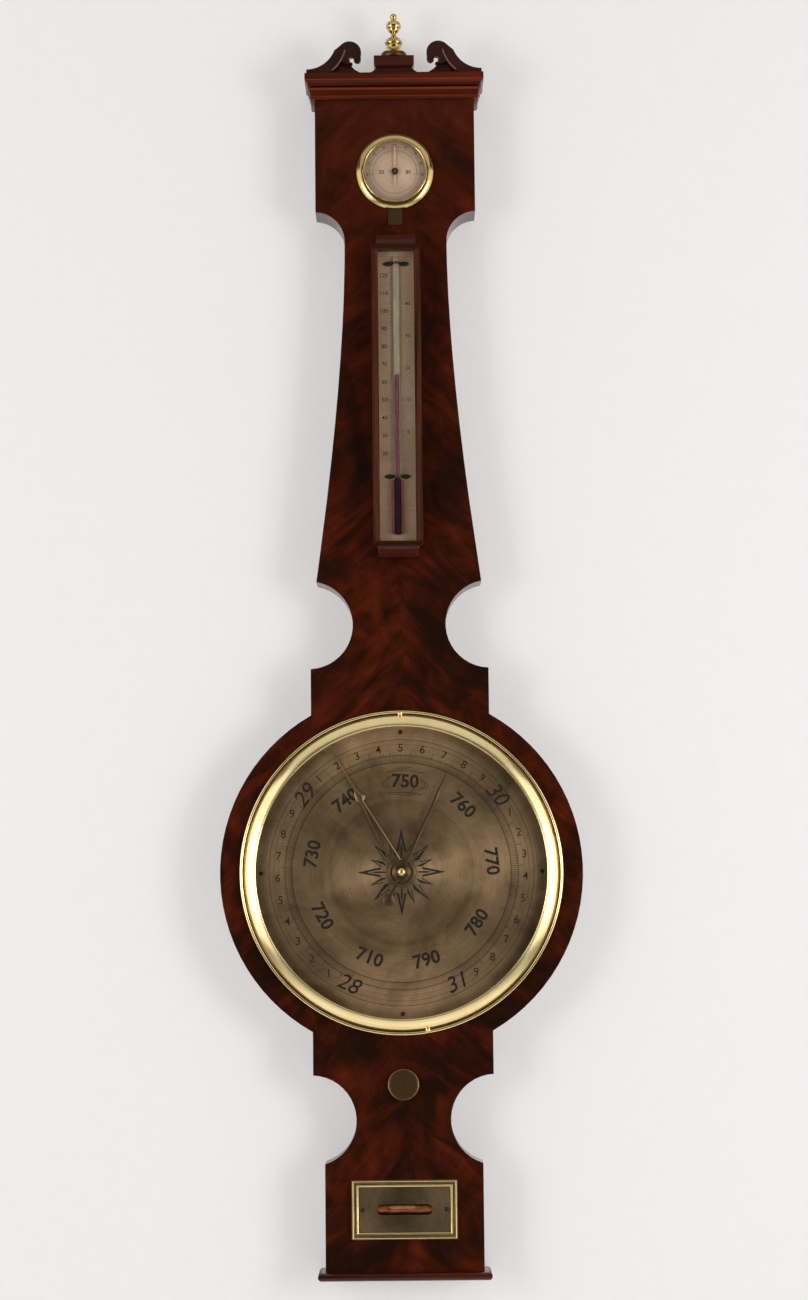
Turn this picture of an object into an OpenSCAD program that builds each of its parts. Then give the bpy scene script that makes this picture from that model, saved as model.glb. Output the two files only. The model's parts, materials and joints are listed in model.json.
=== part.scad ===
// Banjo barometer with hygrometer, boxed thermometer, main dial, set knob and spirit level.
// The origin is the centre of the hanging hole, on the wall plane. X is to the right seen from the
// front, the front faces minus Y and Z is up. Heights count from the dial centre, depths from the wall.

/* [Case] */
// Thickness of the case from the wall to its front face
case_t = 34; // [33:0.5:40]
// Thickness of the front veneer
veneer_t = 1; // [0.6:0.1:1.5]
// Radius of the round body behind the main dial
disc_r = 153; // [150:0.5:160]
// Width of the square blocks above and below the round body
block_w = 151; // [148:1:156]
// Radius of the four side notches
notch_r = 37.5; // [34:0.5:39]
// Distance of the notch centres from the centre line
notch_x = 77; // [75.5:0.5:80]
// Height of the upper notches above the dial centre
notch_up = 210; // [206:1:214]
// Drop of the lower notches below the dial centre
notch_down = 206.5; // [202:0.5:210]
// Width of the trunk where it meets the upper notches
trunk_w = 140.5; // [134:0.5:146]
// Height at which the trunk's side lines bend to upright
bend_h = 430; // [400:5:460]
// Width of the neck below the head
neck_w = 88; // [86:1:98]
// Height of the top of the neck above the dial centre
neck_h = 543; // [538:1:548]
// Width of the square head
head_w = 138; // [132:1:146]
// Height of the top of the case above the dial centre
case_h = 690; // [688:0.5:696]
// Width of the base block
base_w = 132; // [124:1:140]
// Drop of the underside of the base block below the dial centre
base_down = 331; // [326:1:340]
// Thickness of the base moulding
plinth_t = 7; // [5:0.5:10]
// Projection of the base moulding past the base block
plinth_p = 6.4; // [3:0.2:8]

/* [Cornice and pediment] */
// Height of the cornice moulding
cornice_h = 22; // [22:0.5:26]
// Projection of the cornice moulding
cornice_p = 8.5; // [8:0.5:11]
// Thickness of the pediment board
pediment_t = 12; // [9:0.5:16]
// Radius of the hollow on the outer side of each swan neck
swan_hollow_r = 26; // [24:0.5:27]
// Radius of the valley beside the finial plinth
valley_r = 12; // [11:0.2:12.4]
// Radius of the scroll heads
scroll_r = 10.2; // [9.6:0.1:10.8]
// Width of the swan-neck moulding
swan_w = 9.5; // [7:0.5:11]
// Thickness of the swan-neck moulding
swan_t = 6; // [4:0.5:8]
// Width of the finial plinth
plinth_block_w = 34.8; // [32:0.4:38]
// Height of the finial plinth
plinth_block_h = 10; // [8:0.5:14]
// Depth of the finial plinth
plinth_block_d = 18; // [14:1:22]
// Height of the turned finial
finial_h = 40; // [36:1:44]
// Radius of the stud under the finial
finial_stud_r = 2; // [1.5:0.1:3]

/* [Back] */
// Height of the hanging hole above the dial centre
hang_h = 672; // [670:0.5:674]
// Radius of the hanging hole
hang_r = 4; // [3:0.25:5]
// Width of the hanging plate
hang_plate_w = 44; // [38:1:52]
// Height of the hanging plate
hang_plate_h = 24; // [20:1:26]
// Thickness of the hanging plate
hang_plate_t = 2; // [1.5:0.25:3]
// Spacing of the hanging plate's screws
hang_screw_w = 30; // [26:1:32]
// Width of the back door
door_w = 60; // [58:0.5:62]
// Thickness of the back door
door_t = 3; // [2:0.25:3.25]
// Depth of the door's outer face below the wall plane
door_in = 2.5; // [2.5:0.1:3]
// Height of the top of the door above the dial centre
door_top = 650; // [648:0.5:655]
// Drop of the bottom of the door below the dial centre
door_down = 232; // [230:0.5:236]
// Height of the finger notch in the door above the dial centre
finger_h = 200; // [160:5:240]
// Gap round the door
door_gap = 0.8; // [0.5:0.1:1]
// Width of the ledge that the door closes against
ledge_w = 4; // [3:0.5:5]
// Depth of the hollow that holds the tube
cavity_d = 22; // [21.5:0.25:22.5]
// Radius of the hinge knuckles
knuckle_r = 1.9; // [1.6:0.1:2]
// Radius of the hinge pins
hinge_pin_r = 0.9; // [0.7:0.1:1]
// Length of the hinge leaves
leaf_l = 24; // [20:1:30]
// Width of the hinge leaves
leaf_w = 11; // [9:0.5:12]
// Thickness of the hinge leaves
leaf_t = 0.8; // [0.6:0.1:1.2]

/* [Main dial] */
// Radius of the dial plate
dial_r = 127; // [124:0.5:128]
// Thickness of the dial plate
dial_t = 1.5; // [1:0.25:2]
// Depth of the dial's seat below the front face
dial_in = 6; // [5.5:0.25:6.5]
// Reach of the bezel past the dial plate
bezel_out = 9.5; // [8.5:0.5:12]
// Cover of the bezel over the edge of the dial plate
bezel_cover = 6; // [5:0.5:7]
// Thickness of the main glass
glass_t = 2; // [1.5:0.25:2.5]
// Rise of the domed glass from rim to centre
glass_rise = 9; // [8:0.5:14]
// Length of the set hand from the centre
set_hand_l = 115; // [100:1:116]
// Length of the index hand from the centre
index_hand_l = 94; // [80:1:110]
// Length of the index hand's tail from the centre
index_tail_l = 26; // [18:1:34]
// Thickness of both hands
hand_t = 0.8; // [0.5:0.1:1]
// Turn of the set hand at rest, to the left of twelve
set_hand_turn = 29; // [0:1:60]
// Turn of the index hand at rest, to the right of twelve
index_hand_turn = 25; // [0:1:60]
// Radius of the ball of the centre nut
nut_r = 4.2; // [3.5:0.1:4.6]

/* [Movement] */
// Radius of the index arbor
arbor_r = 1.5; // [1.2:0.1:1.8]
// Radius of the arbor's back pivot
pivot_r = 1; // [0.7:0.1:1.1]
// Outer radius of the set-hand pipe
pipe_r = 3; // [2.6:0.1:3.4]
// Distance of the float thread from the arbor's axis
thread_x = 7.1; // [6.8:0.1:7.4]
// Radius of the silk threads
thread_r = 0.3; // [0.2:0.05:0.35]
// Radius of the gut line's path on its pulleys
gut_path_r = 13.5; // [13.3:0.1:13.8]
// Thickness of the gut line
gut_t = 1; // [0.6:0.1:1.2]
// Drop of the set knob below the dial centre
knob_down = 177; // [174:0.5:180]
// Radius of the set knob
knob_r = 13; // [11:0.5:15]
// Thickness of the set knob
knob_t = 4.4; // [4:0.2:6]
// Radius of the knob's arbor
knob_arbor_r = 2.5; // [2:0.1:3]
// Outer radius of the bushes in the case
bush_r = 5.5; // [4.8:0.1:6.5]

/* [Siphon tube] */
// Outer radius of the glass tube
tube_r = 4; // [3.6:0.1:4.2]
// Wall of the glass tube
tube_wall = 0.9; // [0.7:0.1:1]
// Distance between the two limbs of the tube
tube_pitch = 13; // [12.8:0.1:13.4]
// Height of the closed top of the tube above the dial centre
tube_top = 640; // [630:1:643]
// Drop of the underside of the bend below the dial centre
tube_down = 218; // [214:0.5:223]
// Drop of the top of the short limb below the dial centre
short_top_down = 72; // [66:1:76]
// Height of the mercury in the long limb above the dial centre
mercury_up = 617; // [590:1:622]
// Drop of the mercury in the short limb below the dial centre
mercury_down = 138; // [130:1:144]
// Length of the glass float
float_l = 20; // [16:0.5:22]
// Drop of the counterweight's underside below the dial centre
counter_down = 88; // [85:0.5:92]
// Length of the counterweight
counter_l = 18; // [14:0.5:18]

/* [Hygrometer] */
// Height of the hygrometer above the dial centre
hyg_h = 604; // [602:0.5:606]
// Radius of the hygrometer dial
hyg_dial_r = 27.5; // [26:0.25:28.5]
// Reach of the hygrometer bezel past its dial
hyg_bezel_out = 5.8; // [5.4:0.2:7]
// Depth of the hygrometer cup below the front face
hyg_in = 9; // [8:0.25:10]
// Width of the setting tab
tab_w = 12; // [9:0.5:13]
// Length of the setting tab from the hygrometer's centre
tab_l = 47; // [43:0.5:48]
// Length of the hygrometer hand from its centre
hyg_hand_l = 24; // [18:0.5:25]

/* [Thermometer] */
// Width of the thermometer box
therm_w = 42; // [40:0.5:46]
// Depth of the thermometer box
therm_d = 16; // [15:0.25:20]
// Height of the underside of the thermometer's foot above the dial centre
therm_foot = 266.5; // [262:0.5:270]
// Height of the top of the thermometer box above the dial centre
therm_top = 545; // [540:0.5:548]
// Height of each of the two end mouldings
therm_cap_h = 13; // [11:0.5:16]
// Width of the side strips
stile_w = 5.6; // [4.6:0.2:6.4]
// Thickness of the scale plate
scale_t = 1; // [0.8:0.1:1.4]
// Radius of the thermometer tube
therm_tube_r = 2.7; // [2.2:0.1:3]
// Radius of the thermometer bulb
bulb_r = 3.25; // [3.1:0.05:3.4]
// Height of the top of the spirit above the dial centre
spirit_h = 424; // [360:1:500]
// Radius of the shanks of the hanging studs
stud_r = 1.5; // [1.2:0.1:1.8]
// Depth of the studs in the case
stud_in = 6; // [5:0.5:8]
// Thickness of the stud heads
stud_head_t = 1.35; // [1:0.05:1.6]
// Drop of the upper stud below the top of the box
stud_drop = 45; // [36:1:60]
// Rise of the lower stud above the underside of the foot
stud_rise = 60; // [48:1:70]
// Length of each half of the tube ties
clip_l = 9.8; // [8:0.2:10.6]
// Width of the tube ties
clip_w = 4; // [3:0.2:5]
// Thickness of the tube ties
clip_t = 0.5; // [0.3:0.05:0.7]

/* [Level] */
// Drop of the level below the dial centre
level_down = 280; // [276:0.5:284]
// Width of the level's frame
level_w = 88.5; // [86:0.5:96]
// Height of the level's frame
level_h = 49.3; // [47:0.5:54]
// Width of the strip of the frame
level_strip = 6.2; // [5.4:0.2:7]
// Length of the slot that shows the vial
slot_l = 47; // [40:1:50]
// Radius of the vial
vial_r = 4.5; // [4:0.1:4.8]

/* [Fits] */
// Gap of pressed and seated pieces
fit = 0.02; // [0.02:0.01:0.05]
// Radial gap of turning pieces
run = 0.05; // [0.03:0.01:0.08]

/* [Hidden] */
$fn = 96;
front_d = case_t;
wood_d = case_t - veneer_t;
shoulder_r = (head_w - neck_w) / 2 + 1;
trunk_h = notch_up + sqrt(pow(notch_r, 2) - pow(notch_x - trunk_w / 2, 2));
cornice_foot = case_h - cornice_h;
// Back
hinge_gap = knuckle_r + 0.5;
hinge_x = -(door_w / 2 + hinge_gap);
hinge_heights = [-120, 150, 400];
knuckle_mid = leaf_l * 0.42;
door_seat = door_in + door_t + 0.05;
cavity_w = door_w - 2 * ledge_w;
relief_r = hang_r + 4.5;
hang_screw_r = 1.2;
hang_head_r = 2.4;
// Dial
dial_seat = case_t - dial_in;
dial_front = dial_seat + dial_t;
seat_gap = 0.5;
recess_r = dial_r + seat_gap;
bezel_r = dial_r + bezel_out;
sight_r = dial_r - bezel_cover;
rim_r = dial_r - 2.5;
rim_d = front_d + 3.4;
dome_r = (rim_r * rim_r + glass_rise * glass_rise) / (2 * glass_rise);
dome_d = rim_d + glass_rise - dome_r;
dial_screw_r = dial_r - 8.5;
screw_head_r = 1.8;
screw_head_t = 1.2;
screw_r = 1;
screw_l = 6;
pin_head_r = 2.2;
pin_head_h = 1.4;
pin_dome_r = (pin_head_r * pin_head_r + pin_head_h * pin_head_h) / (2 * pin_head_h);
pin_r = 0.9;
pin_ring_r = bezel_r - 2.6;
pin_angles = [0, 171];
flange_t = 2.2;
// Movement
set_hand_d = dial_front + 1.6;
index_hand_d = set_hand_d + hand_t + 1.7;
collet_t = 1.2;
nut_d = index_hand_d + collet_t;
pulley_clear = 0.6;
gut_d = cavity_d - pulley_clear - 2.1;
drum_r = gut_path_r + 1.5;
tube_d = door_in + door_t + 1.25 + tube_r;
groove_pitch = 3;
counter_d = tube_d + groove_pitch;
float_drum_d0 = tube_d - 1.7;
float_drum_d1 = counter_d + 1.7;
bridge_t = 1.8;
bridge_d = float_drum_d0 - 0.35 - bridge_t;
pillar_h = 24;
pillar_r = 3.5;
// Tube
bore_r = tube_r - tube_wall;
long_x = thread_x + tube_pitch;
bend_c = -tube_down + tube_pitch / 2 + tube_r;
float_r = bore_r - 0.5;
guide_foot = -126;
guide_top = -49;
counter_r = bore_r - 0.5;
clamp_heights = [600, 440, 280, 70];
pair_clamp_heights = [-120, -84];
clamp_h = 10;
// Hygrometer
cup_r = hyg_dial_r + 0.1;
hyg_seat = front_d - hyg_in;
hyg_dial_t = 0.8;
hyg_dial_d = front_d + 0.05 - hyg_dial_t;
tab_t = 0.8;
hyg_bezel_r = hyg_dial_r + hyg_bezel_out;
hyg_sight_r = hyg_dial_r - 1;
hyg_hand_d = front_d + 1.6;
hyg_glass_d = front_d + 3.4;
hyg_glass_t = 1.4;
beard_r = 0.4;
// Thermometer
box_d = front_d + 0.05;
box_in = therm_w / 2 - stile_w;
cap_foot = therm_top - therm_cap_h;
sill_top = therm_foot + therm_cap_h;
back_t = 3;
scale_d = box_d + back_t + 2.35;
tube_axis_d = scale_d + scale_t + bulb_r + 0.05;
pane_t = 1.4;
pane_d = box_d + therm_d - 3;
pane_in = 1.6;
stud_heights = [therm_top - stud_drop, therm_foot + stud_rise];
stud_head_r = stud_r + 1.5;
lift = 6.5;
bulb_foot = sill_top + 5;
bulb_top = bulb_foot + 49;
clip_heights = [bulb_top + 2.6, cap_foot - 11];
// Level
plate_t = 1;
vial_d = front_d - vial_r - 0.6;
vial_l = slot_l + 11;
level_screw_x = level_w / 2 - level_strip - 3.2;
// Colours
mahogany = [0.30, 0.11, 0.06];
veneer = [0.36, 0.13, 0.07];
pine = [0.62, 0.44, 0.26];
brass = [0.80, 0.63, 0.28];
silver = [0.62, 0.57, 0.50];
steel = [0.16, 0.17, 0.22];
glass = [0.75, 0.82, 0.82, 0.35];

// Helpers

// A flat piece parallel to the wall between two depths, drawn as seen from the front
module slab(d0, d1) {
    translate([0, -d0, -hang_h])
        rotate([90, 0, 0])
            linear_extrude(d1 - d0)
                children();
}

// A turned piece on an axis square to the wall, drawn as radius and depth
module turned(x, h) {
    translate([x, 0, h - hang_h])
        rotate([90, 0, 0])
            rotate_extrude()
                children();
}

// A round bar square to the wall between two depths
module bar(x, h, d0, d1, r) {
    translate([x, -d0, h - hang_h])
        rotate([90, 0, 0])
            cylinder(r = r, h = d1 - d0);
}

// An upright round bar between two heights
module post(x, d, h0, h1, r) {
    translate([x, -d, h0 - hang_h])
        cylinder(r = r, h = h1 - h0);
}

// A moulding run from side to side, drawn as depth and height
module run_across(half) {
    translate([-half, 0, -hang_h])
        rotate([90, 0, 90])
            linear_extrude(2 * half)
                mirror([1, 0])
                    children();
}

// A band of a ring between two radii and two depths
module band(r0, r1, d0, d1) {
    translate([r0, d0])
        square([r1 - r0, d1 - d0]);
}

// Outline of the case

function side_at(t) = [
    (1 - t * t) * neck_w / 2 + t * t * trunk_w / 2,
    (1 - t) * (1 - t) * neck_h + 2 * t * (1 - t) * bend_h + t * t * trunk_h
];

trunk_side = [for (i = [20:-1:0]) side_at(i / 20)];
trunk_right = concat([[trunk_w / 2, notch_up]], trunk_side);
trunk_left = [for (i = [len(trunk_right) - 1:-1:0]) [-trunk_right[i][0], trunk_right[i][1]]];

module case_outline() {
    circle(r = disc_r);
    difference() {
        union() {
            translate([-block_w / 2, -notch_down])
                square([block_w, notch_down + notch_up]);
            translate([-base_w / 2, -base_down])
                square([base_w, base_down - notch_down]);
            polygon(concat(trunk_right, trunk_left));
        }
        for (s = [-1, 1]) {
            translate([s * notch_x, notch_up])
                circle(r = notch_r);
            translate([s * notch_x, -notch_down])
                circle(r = notch_r);
        }
    }
    difference() {
        translate([-head_w / 2, neck_h])
            square([head_w, case_h - neck_h]);
        for (s = [-1, 1])
            translate([s * (neck_w / 2 + shoulder_r), neck_h])
                circle(r = shoulder_r);
    }
}

module level_pocket() {
    translate([-vial_l / 2 - 0.3, -level_down - vial_r - 0.2])
        square([vial_l + 0.6, 2 * vial_r + 0.4]);
}

module screw_spots(r) {
    for (a = [0, 90, 180, 270])
        rotate([0, 0, a])
            translate([0, dial_screw_r])
                circle(r = r);
}

module level_screw_spots(r) {
    for (s = [-1, 1])
        translate([s * level_screw_x, -level_down])
            circle(r = r);
}

module pin_spots(r) {
    for (a = pin_angles)
        rotate([0, 0, -a])
            translate([0, pin_ring_r])
                circle(r = r);
}

module stud_spots(r) {
    for (h = stud_heights)
        translate([0, h])
            circle(r = r);
}

// Openings that pass through the veneer
module front_openings() {
    circle(r = recess_r);
    translate([0, hyg_h])
        circle(r = cup_r + fit);
    translate([0, -knob_down])
        circle(r = bush_r + fit);
    level_pocket();
    level_screw_spots(screw_r + fit);
    pin_spots(pin_r + fit);
    stud_spots(stud_r + fit);
}

module door_opening() {
    x0 = hinge_x - hinge_gap;
    translate([x0, -door_down - door_gap])
        square([door_w / 2 + door_gap - x0, door_top + door_down + 2 * door_gap]);
}

module cavity_outline() {
    translate([-cavity_w / 2, ledge_w - door_down])
        square([cavity_w, door_top + door_down - 2 * ledge_w]);
}

module hang_plate_outline(grow) {
    translate([-hang_plate_w / 2 - grow, hang_h - hang_plate_h / 2 - grow])
        square([hang_plate_w + 2 * grow, hang_plate_h + 2 * grow]);
}

// Countersunk screws, or their holes when they are grown and started above the plate
module hang_screw(grow, top) {
    for (s = [-1, 1])
        turned(s * hang_screw_w / 2, hang_h)
            polygon([[0, top], [hang_head_r + grow, top], [hang_head_r + grow, 0.15],
                [hang_screw_r + grow, 1.35], [hang_screw_r + grow, 12 + grow], [0, 12 + grow]]);
}

module leaf_pockets() {
    for (h = hinge_heights)
        translate([hinge_x - leaf_w - 0.3, h - leaf_l / 2 - 0.3])
            square([leaf_w + 0.3, leaf_l + 0.6]);
}

// Case

module case_carcass() {
    color(mahogany)
        difference() {
            slab(0, wood_d)
                case_outline();
            slab(-1, cavity_d)
                cavity_outline();
            slab(-1, door_seat)
                door_opening();
            slab(-1, door_in)
                leaf_pockets();
            slab(-1, hang_plate_t)
                hang_plate_outline(fit);
            slab(-1, 12)
                translate([0, hang_h])
                    circle(r = relief_r);
            hang_screw(fit, -1);
            slab(dial_seat, case_t)
                circle(r = recess_r);
            slab(hyg_seat, case_t)
                translate([0, hyg_h])
                    circle(r = cup_r + fit);
            slab(cavity_d - 1, case_t)
                circle(r = bush_r + fit);
            slab(cavity_d - 1, case_t)
                translate([0, -knob_down])
                    circle(r = bush_r + fit);
            slab(vial_d - vial_r - 0.1, case_t)
                level_pocket();
            slab(dial_front - screw_l - 0.1, case_t)
                screw_spots(screw_r + fit);
            slab(front_d + plate_t - screw_l - 0.1, case_t)
                level_screw_spots(screw_r + fit);
            slab(front_d - 7.1, case_t)
                pin_spots(pin_r + fit);
            slab(front_d - stud_in - 0.1, case_t)
                stud_spots(stud_r + fit);
        }
}

module front_veneer() {
    color(veneer)
        slab(wood_d, front_d)
            difference() {
                case_outline();
                front_openings();
            }
}

// Base moulding with a rounded edge on three sides
module base_moulding() {
    r = plinth_t / 2;
    color(mahogany)
        intersection() {
            run_across(base_w)
                translate([0, -base_down - plinth_t]) {
                    square([front_d + plinth_p - r, plinth_t]);
                    translate([front_d + plinth_p - r, r])
                        circle(r = r);
                }
            slab(0, front_d + plinth_p + 1)
                translate([0, -base_down - plinth_t]) {
                    translate([-base_w / 2 - plinth_p + r, 0])
                        square([base_w + 2 * plinth_p - 2 * r, plinth_t]);
                    for (s = [-1, 1])
                        translate([s * (base_w / 2 + plinth_p - r), r])
                            circle(r = r);
                }
        }
}

// Section of the cornice, drawn as projection and height
module cornice_section() {
    translate([0, cornice_foot])
        square([2.2, cornice_h]);
    translate([2.2, cornice_foot + 2])
        circle(r = 1.8);
    translate([0, cornice_foot + 4.5])
        square([4, 2.9]);
    translate([3.4, cornice_foot + 9])
        circle(r = 1.9);
    translate([0, cornice_foot + 8])
        square([3.4, 2]);
    translate([0, cornice_foot + 11.4])
        square([cornice_p - 2.3, 2.5]);
    polygon([[0, cornice_foot + 13.8], [cornice_p - 2.3, cornice_foot + 13.8],
        [cornice_p, cornice_foot + 16.2], [cornice_p, case_h], [0, case_h]]);
}

module cornice_front() {
    w = head_w / 2;
    p = cornice_p + 1;
    color(mahogany)
        intersection() {
            run_across(w + p)
                translate([front_d, 0])
                    cornice_section();
            translate([0, 0, cornice_foot - 1 - hang_h])
                linear_extrude(cornice_h + 2)
                    polygon([[-w, -front_d], [-w - p, -front_d - p], [w + p, -front_d - p], [w, -front_d]]);
        }
}

module cornice_returns() {
    w = head_w / 2;
    p = cornice_p + 1;
    color(mahogany)
        for (s = [0, 1])
            mirror([s, 0, 0])
                intersection() {
                    slab(0, front_d + p)
                        translate([w, 0])
                            cornice_section();
                    translate([0, 0, cornice_foot - 1 - hang_h])
                        linear_extrude(cornice_h + 2)
                            polygon([[w, -front_d], [w + p, -front_d - p], [w + p, 0], [w, 0]]);
                }
}

// Right half of the pediment, drawn from the middle of the case top
hollow_x = head_w / 2 + 7;
hollow_h = 4 + swan_hollow_r;
scroll_x = 38.5;
scroll_h = 18.5;
valley_x = 25;
valley_h = 2 + valley_r;

module scroll_head() {
    difference() {
        translate([scroll_x, scroll_h])
            circle(r = scroll_r);
        intersection() {
            translate([valley_x, valley_h])
                circle(r = valley_r);
            translate([valley_x - 5, 0])
                square([20, scroll_h - 5.9]);
        }
    }
}

// Rounded beak that hangs from the inner side of each scroll head
beak_r = 0.31 * scroll_r;
beak_x = scroll_x - 0.98 * scroll_r + beak_r;
beak_h = scroll_h - 5.2;

// The outer edge runs straight from the scroll head down into the hollow
module pediment_low(half) {
    top = [scroll_x + scroll_r * cos(40), scroll_h + scroll_r * sin(40)];
    difference() {
        union() {
            translate([-1, 0])
                square([valley_x + 2, 7]);
            translate([valley_x, 0])
                square([half - valley_x, scroll_h - 2]);
            polygon([[scroll_x, scroll_h], [scroll_x + 6, scroll_h - 9], top + [11, -9], top]);
        }
        translate([hollow_x, hollow_h])
            circle(r = swan_hollow_r);
        translate([valley_x, valley_h])
            circle(r = valley_r);
    }
}

// The board stops short of the scroll heads, which hang free in front of it
module pediment_half(half) {
    difference() {
        union() {
            pediment_low(half);
            scroll_head();
        }
        translate([valley_x + 2, valley_h + 0.6])
            circle(r = valley_r - 0.5);
        translate([valley_x + 2, valley_h])
            square([scroll_x - valley_x - 3, 2 * scroll_r]);
    }
}

module pediment_board() {
    color(mahogany)
        slab(front_d - pediment_t, front_d)
            translate([0, case_h])
                for (s = [0, 1])
                    mirror([s, 0])
                        pediment_half(head_w / 2);
}

module swan_neck_outline() {
    difference() {
        union() {
            intersection() {
                pediment_low(head_w / 2 + 7);
                translate([hollow_x, hollow_h])
                    circle(r = swan_hollow_r + swan_w);
            }
            scroll_head();
        }
        translate([beak_x + 1.45 * beak_r, beak_h - 0.3 * beak_r])
            circle(r = 0.85 * beak_r);
    }
    translate([beak_x, beak_h])
        circle(r = beak_r);
}

module swan_necks() {
    color(mahogany)
        for (s = [0, 1])
            mirror([s, 0, 0])
                slab(front_d, front_d + swan_t)
                    translate([0, case_h])
                        swan_neck_outline();
}

plinth_foot = case_h + 7;
finial_foot = plinth_foot + plinth_block_h;
finial_d = front_d - pediment_t / 2;

module finial_plinth() {
    w = plinth_block_w / 2;
    h = plinth_block_h;
    d = plinth_block_d / 2;
    color(mahogany)
        difference() {
            intersection() {
                slab(finial_d - d, finial_d + d)
                    translate([0, plinth_foot])
                        polygon([[1.8 - w, 0], [w - 1.8, 0], [w, 2.6], [w, h], [-w, h], [-w, 2.6]]);
                run_across(w + 1)
                    translate([finial_d, plinth_foot])
                        polygon([[1.8 - d, 0], [d - 1.8, 0], [d, 2.6], [d, h], [-d, h], [-d, 2.6]]);
            }
            post(0, finial_d, finial_foot - 7, finial_foot + 1, finial_stud_r + fit);
        }
}

// Turned brass finial with a stud that stands in its plinth
module finial() {
    k = finial_h / 40;
    color(brass)
        translate([0, -finial_d, finial_foot - hang_h])
            rotate_extrude() {
                translate([0, -6.5])
                    square([finial_stud_r, 7]);
                square([11, 2.4]);
                polygon([[0, 2], [10.6, 2], [10.6, 4.2], [7.2, 5.6], [6, 8.2 * k], [6.4, 10 * k],
                    [7.7, 12.6 * k], [7.7, 14.4 * k], [6.4, 16.4 * k], [3.8, 18.2 * k], [1.9, 19.2 * k],
                    [1.9, 20.8 * k], [2.6, 21.8 * k], [4.2, 23.4 * k], [6.2, 26.4 * k], [6.6, 28.6 * k],
                    [6.2, 30.6 * k], [4.8, 32.2 * k], [2.4, 33.2 * k], [2, 34.2 * k], [2, 36 * k],
                    [0, 36 * k]]);
                intersection() {
                    translate([0, finial_h - 3.1])
                        circle(r = 3.1);
                    translate([0, finial_h - 7])
                        square([10, 10]);
                }
            }
}

module hanging_plate() {
    color(brass)
        difference() {
            slab(0, hang_plate_t)
                difference() {
                    hang_plate_outline(0);
                    translate([0, hang_h])
                        circle(r = hang_r);
                }
            hang_screw(fit, -1);
        }
}

module hanging_screws() {
    color(brass)
        hang_screw(0, 0.05);
}

// Main dial

module main_dial() {
    color(silver)
        slab(dial_seat, dial_front)
            difference() {
                circle(r = dial_r);
                circle(r = pipe_r + 1);
                screw_spots(screw_r + fit);
            }
}

// Small round-headed screws of the dial, the level plate and the bridge
module round_screws() {
    color(steel) {
        slab(dial_front - screw_l, dial_front)
            screw_spots(screw_r);
        slab(dial_front, dial_front + screw_head_t)
            screw_spots(screw_head_r);
        slab(front_d + plate_t - screw_l, front_d + plate_t)
            level_screw_spots(screw_r);
        slab(front_d + plate_t, front_d + plate_t + screw_head_t)
            level_screw_spots(screw_head_r);
        for (s = [-1, 1]) {
            bar(0, s * pillar_h, bridge_d - screw_head_t, bridge_d, screw_head_r);
            bar(0, s * pillar_h, bridge_d, bridge_d + screw_l, screw_r);
        }
    }
}

module main_bezel() {
    color(brass)
        difference() {
            turned(0, 0) {
                band(recess_r + 0.3, bezel_r, front_d, front_d + flange_t);
                translate([bezel_r - 1.6, front_d + flange_t])
                    intersection() {
                        circle(r = 1.6);
                        translate([-2, -0.5])
                            square([4, 4]);
                    }
                band(rim_r + 0.8, dial_r + 4, front_d + 0.8, front_d + 4.4);
                translate([dial_r + 1.4, front_d + 4.4])
                    circle(r = 2.9);
                polygon([[rim_r + 2, rim_d + 3], [rim_r - 0.1, rim_d + 3], [sight_r, rim_d + 1.8],
                    [sight_r, rim_d + 0.7], [rim_r + 2, rim_d + 0.15]]);
            }
            slab(front_d - 1, front_d + flange_t + 3)
                pin_spots(pin_r + fit);
            slab(front_d + flange_t - 0.4, front_d + flange_t + 3)
                pin_spots(pin_head_r + 0.1);
        }
}

module bezel_pins() {
    color(brass)
        for (a = pin_angles)
            turned(pin_ring_r * sin(a), pin_ring_r * cos(a)) {
                band(0, pin_r, front_d - 7, front_d + flange_t);
                translate([0, front_d + flange_t - 0.4])
                    intersection() {
                        translate([0, pin_head_h - pin_dome_r])
                            circle(r = pin_dome_r);
                        square([5, 5]);
                    }
            }
}

module main_glass() {
    color(glass)
        turned(0, 0)
            intersection() {
                difference() {
                    translate([0, dome_d])
                        circle(r = dome_r, $fn = 720);
                    translate([0, dome_d])
                        circle(r = dome_r - glass_t, $fn = 720);
                }
                band(0, rim_r, front_d, front_d + 40);
            }
}

// Pointed hand with two fine rails from the hub to a barbed arrow
module set_hand_outline() {
    a = set_hand_l * 0.59;
    difference() {
        union() {
            circle(r = 7);
            polygon([[3.6, 5], [5, 5], [1.6, a + 1], [0, a + 1], [0, a - 3]]);
            polygon([[0, a - 3], [0, a + 1], [-1.6, a + 1], [-5, 5], [-3.6, 5]]);
            polygon([[0, a], [1, a], [5, a + 2.6], [3, a + 7], [1.2, a + 12], [0.55, set_hand_l - 1],
                [0, set_hand_l], [-0.55, set_hand_l - 1], [-1.2, a + 12], [-3, a + 7], [-5, a + 2.6],
                [-1, a]]);
        }
        circle(r = pipe_r + fit);
    }
}

module set_hand() {
    color(brass)
        slab(set_hand_d, set_hand_d + hand_t)
            rotate([0, 0, set_hand_turn])
                set_hand_outline();
}

module index_hand_outline() {
    tip = index_hand_l;
    a = tip * 0.64;
    difference() {
        union() {
            polygon([[-1.5, 0], [1.5, 0], [1.1, a], [2.6, a + 6], [0.9, a + 16], [0.35, tip - 1], [0, tip],
                [-0.35, tip - 1], [-0.9, a + 16], [-2.6, a + 6], [-1.1, a]]);
            polygon([[-1.5, 0], [-1.1, 4 - index_tail_l], [1.1, 4 - index_tail_l], [1.5, 0]]);
            translate([0, -index_tail_l])
                circle(r = 5);
        }
        circle(r = arbor_r + fit);
    }
}

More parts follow.
